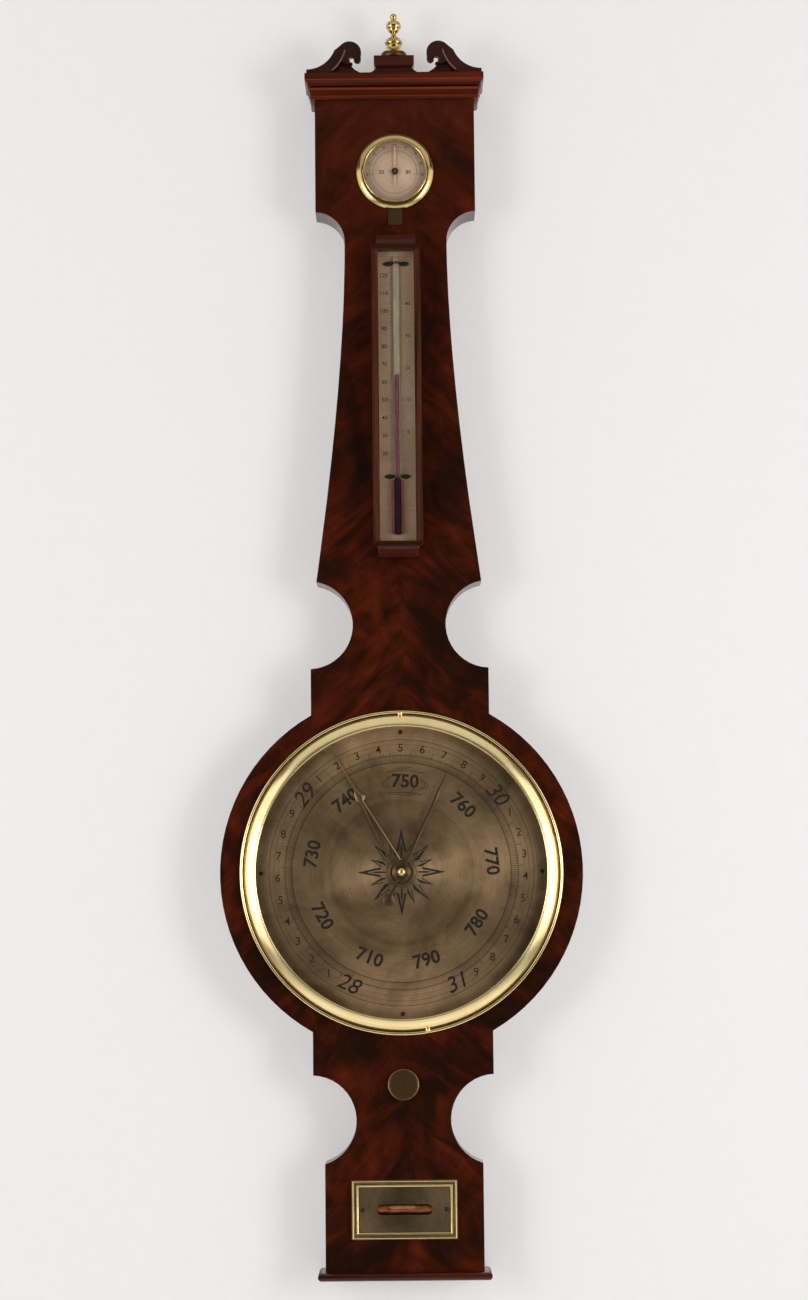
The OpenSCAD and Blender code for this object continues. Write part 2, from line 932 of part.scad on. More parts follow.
module index_hand() {
    color(steel) {
        slab(index_hand_d, index_hand_d + hand_t)
            rotate([0, 0, -index_hand_turn])
                index_hand_outline();
        turned(0, 0)
            band(arbor_r + fit, 7.7, index_hand_d, nut_d);
    }
}

module centre_nut() {
    color(brass)
        turned(0, 0)
            difference() {
                intersection() {
                    translate([0, nut_d + nut_r * 0.55])
                        circle(r = nut_r);
                    band(0, 10, nut_d, nut_d + 10);
                }
                band(-1, arbor_r + fit, nut_d - 1, nut_d + nut_r * 0.9);
            }
}

// Movement

module index_arbor() {
    color(steel)
        turned(0, 0) {
            band(0, pivot_r, bridge_d - 0.4, bridge_d + bridge_t + 0.3);
            band(0, arbor_r, bridge_d + bridge_t + 0.15, nut_d + nut_r * 0.9 - 0.2);
        }
}

module float_pulley() {
    color(brass)
        turned(0, 0)
            difference() {
                band(arbor_r + fit, thread_x + 1.5, float_drum_d0, float_drum_d1);
                for (d = [tube_d, counter_d])
                    band(thread_x - thread_r - 0.02, thread_x + 3, d - 0.6, d + 0.6);
            }
}

module arbor_bridge() {
    color(brass) {
        slab(bridge_d, bridge_d + bridge_t)
            difference() {
                union() {
                    translate([-5, -pillar_h])
                        square([10, 2 * pillar_h]);
                    for (s = [-1, 1])
                        translate([0, s * pillar_h])
                            circle(r = 5.5);
                }
                circle(r = pivot_r + run);
                for (s = [-1, 1])
                    translate([0, s * pillar_h])
                        circle(r = screw_r + fit);
            }
        for (s = [-1, 1])
            turned(0, s * pillar_h)
                difference() {
                    band(0, pillar_r, bridge_d + bridge_t - 0.2, cavity_d);
                    band(-1, screw_r + fit, bridge_d, bridge_d + screw_l + 0.1);
                }
    }
}

module case_bushes() {
    color(brass) {
        turned(0, 0)
            band(pipe_r + run, bush_r, cavity_d, dial_seat);
        turned(0, -knob_down)
            band(knob_arbor_r + run, bush_r, cavity_d, front_d);
    }
}

// Grooved drum for the gut line, drawn as radius and depth
module gut_drum(inner) {
    difference() {
        band(inner, drum_r, gut_d - 2.1, gut_d + 2.1);
        band(gut_path_r - gut_t / 2 - run, drum_r + 1, gut_d - 0.9, gut_d + 0.9);
    }
}

module set_pipe() {
    color(brass)
        turned(0, 0) {
            band(arbor_r + run, pipe_r, gut_d - 2.5, set_hand_d + hand_t + 0.4);
            gut_drum(pipe_r - 0.5);
        }
}

module knob_arbor() {
    color(brass)
        turned(0, -knob_down) {
            band(0, knob_arbor_r, gut_d - 2.5, front_d + 2.4);
            gut_drum(knob_arbor_r - 0.5);
        }
}

module set_knob() {
    d = front_d + 0.3;
    color(brass)
        turned(0, -knob_down)
            difference() {
                union() {
                    band(0, knob_r - 0.6, d, d + knob_t - 1);
                    band(0, knob_r, d + 1, d + knob_t - 1.4);
                    translate([knob_r - 1.5, d + knob_t - 1])
                        circle(r = 1);
                    band(0, 3, d, d + knob_t - 0.4);
                }
                band(-1, knob_arbor_r + fit, d - 1, front_d + 2.5);
            }
}

module gut_path(r) {
    circle(r = r);
    translate([0, -knob_down])
        circle(r = r);
    translate([-r, -knob_down])
        square([2 * r, knob_down]);
}

module gut_line() {
    color(pine)
        slab(gut_d - gut_t / 2, gut_d + gut_t / 2)
            difference() {
                gut_path(gut_path_r + gut_t / 2);
                gut_path(gut_path_r - gut_t / 2);
            }
}

// Siphon tube

module siphon(r, long_top, short_top) {
    post(long_x, tube_d, bend_c, long_top, r);
    post(thread_x, tube_d, bend_c, short_top, r);
    translate([thread_x + tube_pitch / 2, -tube_d, bend_c - hang_h])
        rotate([-90, 0, 0])
            rotate_extrude(angle = 180)
                translate([tube_pitch / 2, 0])
                    circle(r = r);
}

module siphon_tube() {
    color(glass)
        difference() {
            siphon(tube_r, tube_top, -short_top_down);
            siphon(bore_r, tube_top - 4, 1 - short_top_down);
        }
}

module mercury() {
    color(silver)
        siphon(bore_r - fit, mercury_up, -mercury_down);
}

module tube_clamps() {
    color(pine) {
        for (h = clamp_heights)
            difference() {
                slab(tube_d - tube_r - 0.6, cavity_d)
                    translate([long_x - 5.4, h - clamp_h / 2])
                        square([10.8, clamp_h]);
                post(long_x, tube_d, h - clamp_h, h + clamp_h, tube_r + fit);
            }
        for (h = pair_clamp_heights)
            difference() {
                slab(tube_d - tube_r - 0.6, cavity_d)
                    translate([-thread_x - tube_r - 1.1, h - clamp_h / 2])
                        square([2 * (thread_x + tube_r + 1.1), clamp_h]);
                post(thread_x, tube_d, h - clamp_h, h + clamp_h, tube_r + fit);
                post(-thread_x, counter_d, h - clamp_h, h + clamp_h, tube_r + fit);
            }
    }
}

module counter_guide() {
    color(glass)
        difference() {
            post(-thread_x, counter_d, guide_foot, guide_top, tube_r);
            post(-thread_x, counter_d, guide_foot - 1, guide_top + 1, bore_r);
        }
}

module float_weight() {
    color(glass)
        post(thread_x, tube_d, 0.2 - mercury_down, 0.2 - mercury_down + float_l, float_r);
}

module float_thread() {
    color(pine)
        post(thread_x, tube_d, 0.2 - mercury_down + float_l, 0, thread_r);
}

module counterweight() {
    color(brass)
        post(-thread_x, counter_d, -counter_down, counter_l - counter_down, counter_r);
}

module counter_thread() {
    color(pine)
        post(-thread_x, counter_d, counter_l - counter_down, 0, thread_r);
}

// Hygrometer

module hygrometer_cup() {
    color(brass)
        turned(0, hyg_h)
            difference() {
                union() {
                    band(0, cup_r, hyg_seat, hyg_seat + 1);
                    band(cup_r - 0.8, cup_r, hyg_seat, hyg_dial_d - run);
                    band(0, 2, hyg_seat, hyg_seat + 4);
                }
                band(-1, beard_r + run, hyg_seat + 1.5, hyg_seat + 5);
            }
}

module hygrometer_dial() {
    color(silver)
        slab(hyg_dial_d, hyg_dial_d + hyg_dial_t)
            translate([0, hyg_h])
                difference() {
                    circle(r = hyg_dial_r);
                    circle(r = 2.2);
                }
}

module hygrometer_tab() {
    color(brass)
        slab(hyg_dial_d + hyg_dial_t, hyg_dial_d + hyg_dial_t + tab_t)
            translate([0, hyg_h])
                difference() {
                    union() {
                        translate([-tab_w / 2, -tab_l + 2])
                            square([tab_w, tab_l - hyg_sight_r + 1.2 - 2]);
                        translate([2 - tab_w / 2, -tab_l])
                            square([tab_w - 4, 3]);
                        for (s = [-1, 1])
                            translate([s * (tab_w / 2 - 2), 2 - tab_l])
                                circle(r = 2);
                    }
                    circle(r = hyg_sight_r - 1);
                }
}

module hygrometer_hand() {
    color(pine) {
        slab(hyg_hand_d, hyg_hand_d + 0.5)
            translate([0, hyg_h])
                difference() {
                    polygon([[-0.8, -12], [0.8, -12], [1.2, 0], [0.7, 14], [0, hyg_hand_l], [-0.7, 14],
                        [-1.2, 0]]);
                    circle(r = beard_r + fit);
                }
        turned(0, hyg_h)
            band(beard_r + fit, 2.9, hyg_hand_d - 0.5, hyg_hand_d + 1);
    }
}

module oat_beard() {
    color(pine)
        bar(0, hyg_h, hyg_seat + 1.6, hyg_hand_d + 0.9, beard_r);
}

module hygrometer_bezel() {
    lip_d = hyg_glass_d + hyg_glass_t + 0.1;
    color(brass)
        difference() {
            turned(0, hyg_h) {
                band(hyg_dial_r + 0.5, hyg_bezel_r, front_d, front_d + 1.8);
                translate([hyg_bezel_r - 1.2, front_d + 1.8])
                    intersection() {
                        circle(r = 1.2);
                        translate([-2, -0.5])
                            square([4, 4]);
                    }
                band(hyg_dial_r + 0.5, hyg_dial_r + 2.8, front_d, hyg_glass_d + hyg_glass_t + 0.6);
                translate([hyg_dial_r + 2.7, hyg_glass_d + 0.6])
                    circle(r = 2);
                polygon([[hyg_dial_r + 1.4, lip_d + 1.3], [hyg_dial_r, lip_d + 1.3],
                    [hyg_sight_r, lip_d + 0.6], [hyg_sight_r, lip_d], [hyg_dial_r + 0.8, lip_d]]);
            }
            // Room for the tab to swing under the flange
            slab(front_d - 1, front_d + tab_t + 0.3)
                translate([0, hyg_h])
                    polygon([[0, 0], [32, -56], [-32, -56]]);
        }
}

module hygrometer_glass() {
    color(glass)
        turned(0, hyg_h)
            band(0, hyg_dial_r + 0.4, hyg_glass_d, hyg_glass_d + hyg_glass_t);
}

// Thermometer

module thermometer_studs() {
    color(brass)
        for (h = stud_heights)
            turned(0, h) {
                band(0, stud_r, front_d - stud_in, box_d + back_t + 0.3);
                band(0, stud_head_r, box_d + back_t + 0.15, box_d + back_t + 0.15 + stud_head_t);
            }
}

module thermometer_back() {
    color(mahogany)
        slab(box_d, box_d + back_t)
            difference() {
                translate([-box_in, sill_top])
                    square([2 * box_in, cap_foot - sill_top]);
                for (h = stud_heights)
                    translate([0, h]) {
                        circle(r = stud_r + 0.1);
                        translate([-stud_r - 0.1, -lift - 1])
                            square([2 * stud_r + 0.2, lift + 1]);
                        translate([0, -lift - 1])
                            circle(r = stud_head_r + 0.4);
                    }
            }
}

// Right-hand strip in section, drawn as distance from the middle and depth
module stile_section() {
    difference() {
        union() {
            translate([box_in, box_d])
                square([stile_w, therm_d]);
            translate([box_in - 1.6, box_d + back_t])
                square([1.8, scale_d - box_d - back_t]);
        }
        translate([box_in - 1, pane_d - run])
            square([1 + pane_in, pane_t + 2 * run]);
        translate([box_in + stile_w * 0.5, box_d + therm_d])
            circle(r = 0.7);
    }
}

module thermometer_stiles() {
    color(mahogany)
        for (s = [0, 1])
            mirror([s, 0, 0])
                translate([0, 0, sill_top - hang_h])
                    linear_extrude(cap_foot - sill_top)
                        mirror([0, 1])
                            stile_section();
}

// End moulding in outline, drawn upward from its wide edge with a hollow on each side
module cap_outline(half, reach) {
    h = therm_cap_h;
    r = (h - 5) * 0.55;
    difference() {
        translate([-half, 0])
            square([2 * half, h]);
        for (s = reach)
            translate([s * half, h * 0.76]) {
                scale([1, 1.45])
                    circle(r = r);
                translate([s > 0 ? -r : -10, 0])
                    square([10 + r, h]);
            }
    }
}

module thermometer_cap() {
    d = therm_d + 1.2;
    intersection() {
        slab(box_d, box_d + d)
            cap_outline(therm_w / 2, [-1, 1]);
        run_across(therm_w)
            translate([box_d, 0])
                translate([d / 2, 0])
                    cap_outline(d / 2, [1]);
    }
}

module thermometer_caps() {
    color(mahogany) {
        translate([0, 0, cap_foot])
            thermometer_cap();
        translate([0, 0, sill_top - 2 * hang_h])
            mirror([0, 0, 1])
                thermometer_cap();
    }
}

module thermometer_glass() {
    w = box_in + pane_in - 0.1;
    color(glass)
        slab(pane_d, pane_d + pane_t)
            translate([-w, sill_top + 0.1])
                square([2 * w, cap_foot - sill_top - 0.2]);
}

module thermometer_scale() {
    color(silver)
        slab(scale_d, scale_d + scale_t)
            translate([-box_in + run, sill_top + 0.1])
                square([2 * box_in - 2 * run, cap_foot - sill_top - 0.2]);
}

module thermometer_tube() {
    color(glass)
        translate([0, -tube_axis_d, -hang_h])
            rotate_extrude()
                difference() {
                    union() {
                        band(0, bulb_r, bulb_foot, bulb_top);
                        band(0, therm_tube_r, bulb_foot, cap_foot - 4);
                    }
                    band(-1, bulb_r - 0.6, bulb_foot + 1, bulb_top - 1);
                    band(-1, 1, bulb_foot + 1, cap_foot - 7);
                }
}

module thermometer_spirit() {
    color([0.45, 0.05, 0.12])
        translate([0, -tube_axis_d, -hang_h])
            rotate_extrude() {
                band(0, bulb_r - 0.6 - fit, bulb_foot + 1 + fit, bulb_top - 1 - fit);
                band(0, 1 - fit, bulb_top - 2, spirit_h);
            }
}

// Flat bow-shaped ties with a saddle over the tube
module thermometer_clips() {
    f = scale_d + scale_t;
    r = (clip_l * clip_l + clip_w * clip_w) / (4 * clip_w);
    color([0.25, 0.2, 0.14])
        for (h = clip_heights) {
            slab(f, f + clip_t)
                for (s = [-1, 1])
                    intersection() {
                        translate([s * (therm_tube_r + clip_l / 2 - 0.9), h - r + clip_w / 2])
                            circle(r = r);
                        translate([s * (therm_tube_r + clip_l / 2 - 0.9), h + r - clip_w / 2])
                            circle(r = r);
                    }
            translate([0, -tube_axis_d, h - 1 - hang_h])
                linear_extrude(2)
                    difference() {
                        union() {
                            circle(r = therm_tube_r + 0.6);
                            translate([-therm_tube_r - 0.6, 0])
                                square([2 * therm_tube_r + 1.2, tube_axis_d - f]);
                        }
                        circle(r = therm_tube_r + run);
                        translate([-therm_tube_r - run, 0])
                            square([2 * therm_tube_r + 2 * run, tube_axis_d - f + 1]);
                    }
        }
}

// Level

module level_ring(strip, d0, d1) {
    slab(d0, d1)
        translate([0, -level_down])
            difference() {
                square([level_w, level_h], center = true);
                square([level_w - 2 * strip, level_h - 2 * strip], center = true);
            }
}

module level_frame() {
    d = front_d + plate_t + fit;
    color(brass) {
        level_ring(level_strip, d, d + 1.2);
        level_ring(level_strip - 1.6, d, d + 2.2);
        level_ring(3, front_d, d + 1.8);
        level_ring(2, front_d, d + 3.2);
    }
}

module level_plate() {
    w = level_w - 6.6;
    h = level_h - 6.6;
    color(silver)
        slab(front_d, front_d + plate_t)
            difference() {
                translate([-w / 2, -level_down - h / 2])
                    square([w, h]);
                level_screw_spots(screw_r + fit);
                translate([-slot_l / 2 + vial_r, -level_down - vial_r + 0.2])
                    square([slot_l - 2 * vial_r, 2 * vial_r - 0.4]);
                for (s = [-1, 1])
                    translate([s * (slot_l / 2 - vial_r), -level_down])
                        circle(r = vial_r - 0.2);
            }
}

module lying_bar(r, l) {
    translate([-l / 2, -vial_d, -level_down - hang_h])
        rotate([0, 90, 0])
            cylinder(r = r, h = l);
}

module level_vial() {
    color(glass)
        difference() {
            lying_bar(vial_r, vial_l);
            lying_bar(vial_r - 0.9, vial_l - 6);
        }
}

module level_spirit() {
    color([0.75, 0.55, 0.12])
        difference() {
            lying_bar(vial_r - 0.9 - fit, vial_l - 6.2);
            translate([0, -vial_d, -level_down - hang_h + vial_r + 6])
                sphere(r = 8.4);
        }
}

// Back door and hinges

module back_door() {
    color(pine)
        slab(door_in, door_in + door_t)
            difference() {
                translate([-door_w / 2, -door_down])
                    square([door_w, door_top + door_down]);
                translate([door_w / 2 + 4, finger_h])
                    circle(r = 10);
            }
}

module hinge_case_leaves() {
    color(brass)
        for (h = hinge_heights)
            difference() {
                union() {
                    slab(door_in - leaf_t, door_in)
                        translate([hinge_x - leaf_w, h - leaf_l / 2])
                            square([leaf_w, leaf_l]);
                    post(hinge_x, door_in, h - leaf_l / 2, h + leaf_l / 2, knuckle_r);
                }
                translate([hinge_x - hinge_gap + 0.1, -door_in - 5, h - knuckle_mid / 2 - 0.15 - hang_h])
                    cube([10, 10, knuckle_mid + 0.3]);
                post(hinge_x, door_in, h - leaf_l, h + leaf_l, hinge_pin_r + fit);
            }
}

module hinge_door_leaves() {
    color(brass)
        for (h = hinge_heights)
            difference() {
                union() {
                    slab(door_in - leaf_t, door_in)
                        translate([hinge_x + hinge_gap, h - leaf_l / 2])
                            square([leaf_w, leaf_l]);
                    slab(door_in - leaf_t, door_in)
                        translate([hinge_x, h - knuckle_mid / 2])
                            square([hinge_gap + 1, knuckle_mid]);
                    post(hinge_x, door_in, h - knuckle_mid / 2, h + knuckle_mid / 2, knuckle_r);
                }
                post(hinge_x, door_in, h - leaf_l, h + leaf_l, hinge_pin_r + run);
            }
}

module hinge_pins() {
    color(steel)
        for (h = hinge_heights)
            post(hinge_x, door_in, h - leaf_l / 2, h + leaf_l / 2, hinge_pin_r);
}

case_carcass();
front_veneer();
base_moulding();
cornice_front();
cornice_returns();
pediment_board();
swan_necks();
finial_plinth();
finial();
hanging_plate();
hanging_screws();
main_dial();
round_screws();
main_bezel();
bezel_pins();
main_glass();
arbor_bridge();
case_bushes();
gut_line();
siphon_tube();
mercury();
tube_clamps();
counter_guide();
hygrometer_cup();
hygrometer_bezel();
hygrometer_glass();
level_frame();
level_plate();
level_vial();
level_spirit();
hinge_case_leaves();
hinge_pins();
thermometer_studs();
back_door();
hinge_door_leaves();
index_hand();
index_arbor();
float_pulley();
centre_nut();
set_hand();
set_pipe();
set_knob();
knob_arbor();
float_weight();
float_thread();
counterweight();
counter_thread();
hygrometer_hand();
oat_beard();
hygrometer_dial();
hygrometer_tab();
thermometer_back();
thermometer_stiles();
thermometer_caps();
thermometer_glass();
thermometer_scale();
thermometer_tube();
thermometer_spirit();
thermometer_clips();
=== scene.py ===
import json
import math
import bmesh
import bpy
from mathutils import Matrix, Vector


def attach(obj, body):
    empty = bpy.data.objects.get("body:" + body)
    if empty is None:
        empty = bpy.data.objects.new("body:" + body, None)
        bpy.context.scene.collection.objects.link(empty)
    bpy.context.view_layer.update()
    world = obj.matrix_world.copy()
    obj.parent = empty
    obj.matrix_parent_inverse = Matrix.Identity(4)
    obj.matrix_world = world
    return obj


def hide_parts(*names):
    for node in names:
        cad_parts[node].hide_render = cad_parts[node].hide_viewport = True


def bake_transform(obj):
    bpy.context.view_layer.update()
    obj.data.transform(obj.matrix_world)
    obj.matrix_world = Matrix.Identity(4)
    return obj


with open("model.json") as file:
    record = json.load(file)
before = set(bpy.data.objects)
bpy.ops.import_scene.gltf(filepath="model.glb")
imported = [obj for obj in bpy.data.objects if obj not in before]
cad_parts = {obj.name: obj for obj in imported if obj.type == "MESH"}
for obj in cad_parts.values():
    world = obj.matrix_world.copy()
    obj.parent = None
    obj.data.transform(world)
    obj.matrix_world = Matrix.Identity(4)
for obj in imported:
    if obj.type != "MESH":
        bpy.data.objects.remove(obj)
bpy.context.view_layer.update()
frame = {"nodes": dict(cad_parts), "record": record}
nodes = frame["nodes"]
bodies = frame["record"]["behaviour"]["bodies"]
body_of_node = {node: body for body, names in bodies.items() for node in names}
MM = 0.001
FULL_TURN = 2 * math.pi

# Heights count from the dial centre and depths from the wall, in millimetres, as in the part's source
HANG = 672.0
HYGROMETER = 604.0
KNOB = -177.0
LEVEL = -280.0
CASE_FRONT = 34
DIAL_FRONT = 29.5
HYGROMETER_FRONT = 34.04
SCALE_FRONT = 40.39


def spot(x, height, depth):
    """A point of the barometer in metres."""
    return Vector((x * MM, -depth * MM, (height - HANG) * MM))


# Finishes

def new_finish(name):
    finish = bpy.data.materials.new(name)
    finish.use_nodes = True
    tree = finish.node_tree
    return finish, tree, tree.nodes["Principled BSDF"]


def add(tree, kind, **settings):
    node = tree.nodes.new(kind)
    for key, value in settings.items():
        setattr(node, key, value)
    return node


def join(tree, source, target):
    tree.links.new(source, target)


def place(tree, scale=(1, 1, 1), move=(0, 0, 0), turn=(0, 0, 0)):
    """Object coordinates, moved, turned and scaled for a pattern."""
    coords = add(tree, "ShaderNodeTexCoord")
    mapping = add(tree, "ShaderNodeMapping")
    mapping.inputs["Location"].default_value = move
    mapping.inputs["Rotation"].default_value = turn
    mapping.inputs["Scale"].default_value = scale
    join(tree, coords.outputs["Object"], mapping.inputs["Vector"])
    return mapping.outputs["Vector"]


def sides(tree, vector):
    """The X, Y and Z of a vector."""
    split = add(tree, "ShaderNodeSeparateXYZ")
    join(tree, vector, split.inputs[0])
    return split.outputs


def clouds(tree, vector, scale, detail=4.0, roughness=0.55, distortion=0.0):
    noise = add(tree, "ShaderNodeTexNoise")
    noise.inputs["Scale"].default_value = scale
    noise.inputs["Detail"].default_value = detail
    noise.inputs["Roughness"].default_value = roughness
    noise.inputs["Distortion"].default_value = distortion
    join(tree, vector, noise.inputs["Vector"])
    return noise.outputs["Fac"]


def ramp(tree, value, *stops):
    """Colours by value. The first two stops are the ends."""
    steps = add(tree, "ShaderNodeValToRGB")
    for i, (at, colour) in enumerate(stops):
        stop = steps.color_ramp.elements[i] if i < 2 else steps.color_ramp.elements.new(at)
        stop.position = at
        stop.color = (*colour, 1)
    join(tree, value, steps.inputs["Fac"])
    return steps.outputs["Color"]


def span(tree, value, low, high, start=0.0, end=1.0):
    """A value that runs from start to end, mapped to low and high and kept between them."""
    node = add(tree, "ShaderNodeMapRange")
    node.inputs["From Min"].default_value = start
    node.inputs["From Max"].default_value = end
    node.inputs["To Min"].default_value = low
    node.inputs["To Max"].default_value = high
    join(tree, value, node.inputs["Value"])
    return node.outputs["Result"]


def mixed(tree, factor, under, over):
    """A colour from the tree with a fixed one laid over it by a factor."""
    mix = add(tree, "ShaderNodeMix", data_type="RGBA")
    join(tree, factor, mix.inputs[0])
    join(tree, under, mix.inputs[6])
    mix.inputs[7].default_value = (*over, 1)
    return mix.outputs[2]


def sums(tree, operation, first, second=0.0):
    node = add(tree, "ShaderNodeMath", operation=operation)
    for socket, source in zip(node.inputs, (first, second)):
        if isinstance(source, (int, float)):
            socket.default_value = source
        else:
            join(tree, source, socket)
    return node.outputs[0]


def weighed(tree, first, share, second, rest, operation="ADD"):
    """Two values times their shares, added or taken away."""
    return sums(tree, operation, sums(tree, "MULTIPLY", first, share), sums(tree, "MULTIPLY", second, rest))


def dented(tree, shader, height, strength, distance):
    bump = add(tree, "ShaderNodeBump")
    bump.inputs["Strength"].default_value = strength
    bump.inputs["Distance"].default_value = distance
    join(tree, height, bump.inputs["Height"])
    join(tree, bump.outputs["Normal"], shader.inputs["Normal"])


def flame_veneer_finish():
    """Dark crotch mahogany: strokes fall away on both sides of a wandering seam, calmer at the head."""
    finish, tree, shader = new_finish("flame_veneer")
    point = sides(tree, add(tree, "ShaderNodeTexCoord").outputs["Object"])
    up = point["Z"]
    wander = clouds(tree, place(tree, (0, 0, 1)), 7, 2)
    from_seam = sums(tree, "ADD", point["X"], span(tree, wander, -0.055, 0.05))
    out = sums(tree, "ABSOLUTE", from_seam)
    side = sums(tree, "MULTIPLY", sums(tree, "SIGN", from_seam), 0.7)
    across = weighed(tree, out, 0.70, up, 0.71)
    along = weighed(tree, out, 0.71, up, 0.70, "SUBTRACT")

    def brushed(length, scale, detail, distortion):
        stroke = add(tree, "ShaderNodeCombineXYZ")
        join(tree, across, stroke.inputs["X"])
        join(tree, sums(tree, "MULTIPLY", along, length), stroke.inputs["Y"])
        join(tree, side, stroke.inputs["Z"])
        return clouds(tree, stroke.outputs[0], scale, detail, 0.58, distortion)

    flame = brushed(0.34, 44, 5, 1.3)
    streak = brushed(0.06, 240, 3, 0.3)
    mottle = clouds(tree, place(tree, (1, 1, 0.7), (3, 0, 1)), 17, 4, 0.6, 1.4)
    figure = weighed(tree, flame, 0.52, mottle, 0.48)
    figure = sums(tree, "ADD", figure, sums(tree, "MULTIPLY", sums(tree, "SUBTRACT", streak, 0.5), 0.11))
    middle = 0.51
    calm = span(tree, up, 1.0, 0.6, -0.30, -0.08)
    figure = sums(tree, "MULTIPLY", sums(tree, "SUBTRACT", figure, middle), calm)
    figure = sums(tree, "ADD", figure, middle)
    figure = sums(tree, "ADD", figure, span(tree, up, 0.0, 0.035, -0.42, -0.06))
    colour = ramp(tree, figure, (0.40, (0.0120, 0.0040, 0.0017)), (0.65, (0.080, 0.0122, 0.0034)),
                  (0.475, (0.024, 0.0049, 0.0017)), (0.55, (0.047, 0.0070, 0.0020)))
    join(tree, colour, shader.inputs["Base Color"])
    pores = clouds(tree, place(tree, (1, 1, 0.3)), 700, 2, 0.6)
    join(tree, span(tree, pores, 0.14, 0.19, 0.3, 0.7), shader.inputs["Roughness"])
    shader.inputs["Specular IOR Level"].default_value = 0.2
    dented(tree, shader, pores, 0.02, 0.0002)
    return finish


def mahogany_finish(name, dark, light, along=(1, 1, 0.04), painted_highlights=(), gloss=0.3):
    """Straight-grained polished mahogany; the heights given last are painted highlights, paler bands where
    beads catch the light.
    """
    finish, tree, shader = new_finish(name)
    grain = clouds(tree, place(tree, along), 220, 4, 0.6, 0.4)
    broad = clouds(tree, place(tree, tuple(max(v, 0.25) for v in along)), 14, 2)
    colour = ramp(tree, weighed(tree, grain, 0.6, broad, 0.4), (0.36, dark), (0.66, light))
    # Painted highlights: paler bands at the given heights, where beads would catch the light.
    if painted_highlights:
        up = sides(tree, place(tree))["Z"]
        highlight_tone = tuple(min(2.4 * v, 1.0) for v in light)
        for height, reach, strength in painted_highlights:
            off = sums(tree, "ABSOLUTE", sums(tree, "SUBTRACT", up, (height - HANG) * MM))
            colour = mixed(tree, span(tree, off, strength, 0.0, 0.0, reach * MM), colour, highlight_tone)
    join(tree, colour, shader.inputs["Base Color"])
    join(tree, span(tree, grain, 0.18, 0.28, 0.3, 0.7), shader.inputs["Roughness"])
    shader.inputs["Specular IOR Level"].default_value = gloss
    dented(tree, shader, grain, 0.06, 0.0002)
    return finish


def pine_finish():
    """Aged pine with darker growth lines."""
    finish, tree, shader = new_finish("aged_pine")
    bands = add(tree, "ShaderNodeTexWave", bands_direction="X", wave_profile="SAW")
    bands.inputs["Scale"].default_value = 38
    bands.inputs["Distortion"].default_value = 3.0
    bands.inputs["Detail"].default_value = 3.0
    join(tree, place(tree, (1, 1, 0.09)), bands.inputs["Vector"])
    grain = clouds(tree, place(tree, (1, 1, 0.05)), 160)
    colour = ramp(tree, bands.outputs["Fac"], (0.1, (0.30, 0.17, 0.075)), (0.95, (0.19, 0.095, 0.038)))
    colour = mixed(tree, span(tree, grain, 0.0, 0.5, 0.4, 0.7), colour, (0.14, 0.075, 0.032))
    join(tree, colour, shader.inputs["Base Color"])
    join(tree, span(tree, grain, 0.5, 0.7), shader.inputs["Roughness"])
    dented(tree, shader, grain, 0.25, 0.0003)
    return finish


def metal_finish(name, bright, dull, smooth, rough, patches=60, marks=0.04):
    """Metal with faint handling marks and duller patches."""
    finish, tree, shader = new_finish(name)
    wear = clouds(tree, place(tree), patches, 4, 0.6)
    join(tree, ramp(tree, wear, (0.4, bright), (0.72, dull)), shader.inputs["Base Color"])
    shader.inputs["Metallic"].default_value = 1.0
    join(tree, span(tree, wear, smooth, rough, 0.35, 0.7), shader.inputs["Roughness"])
    if marks:
        dented(tree, shader, clouds(tree, place(tree), 900, 2), marks, 0.0001)
    return finish


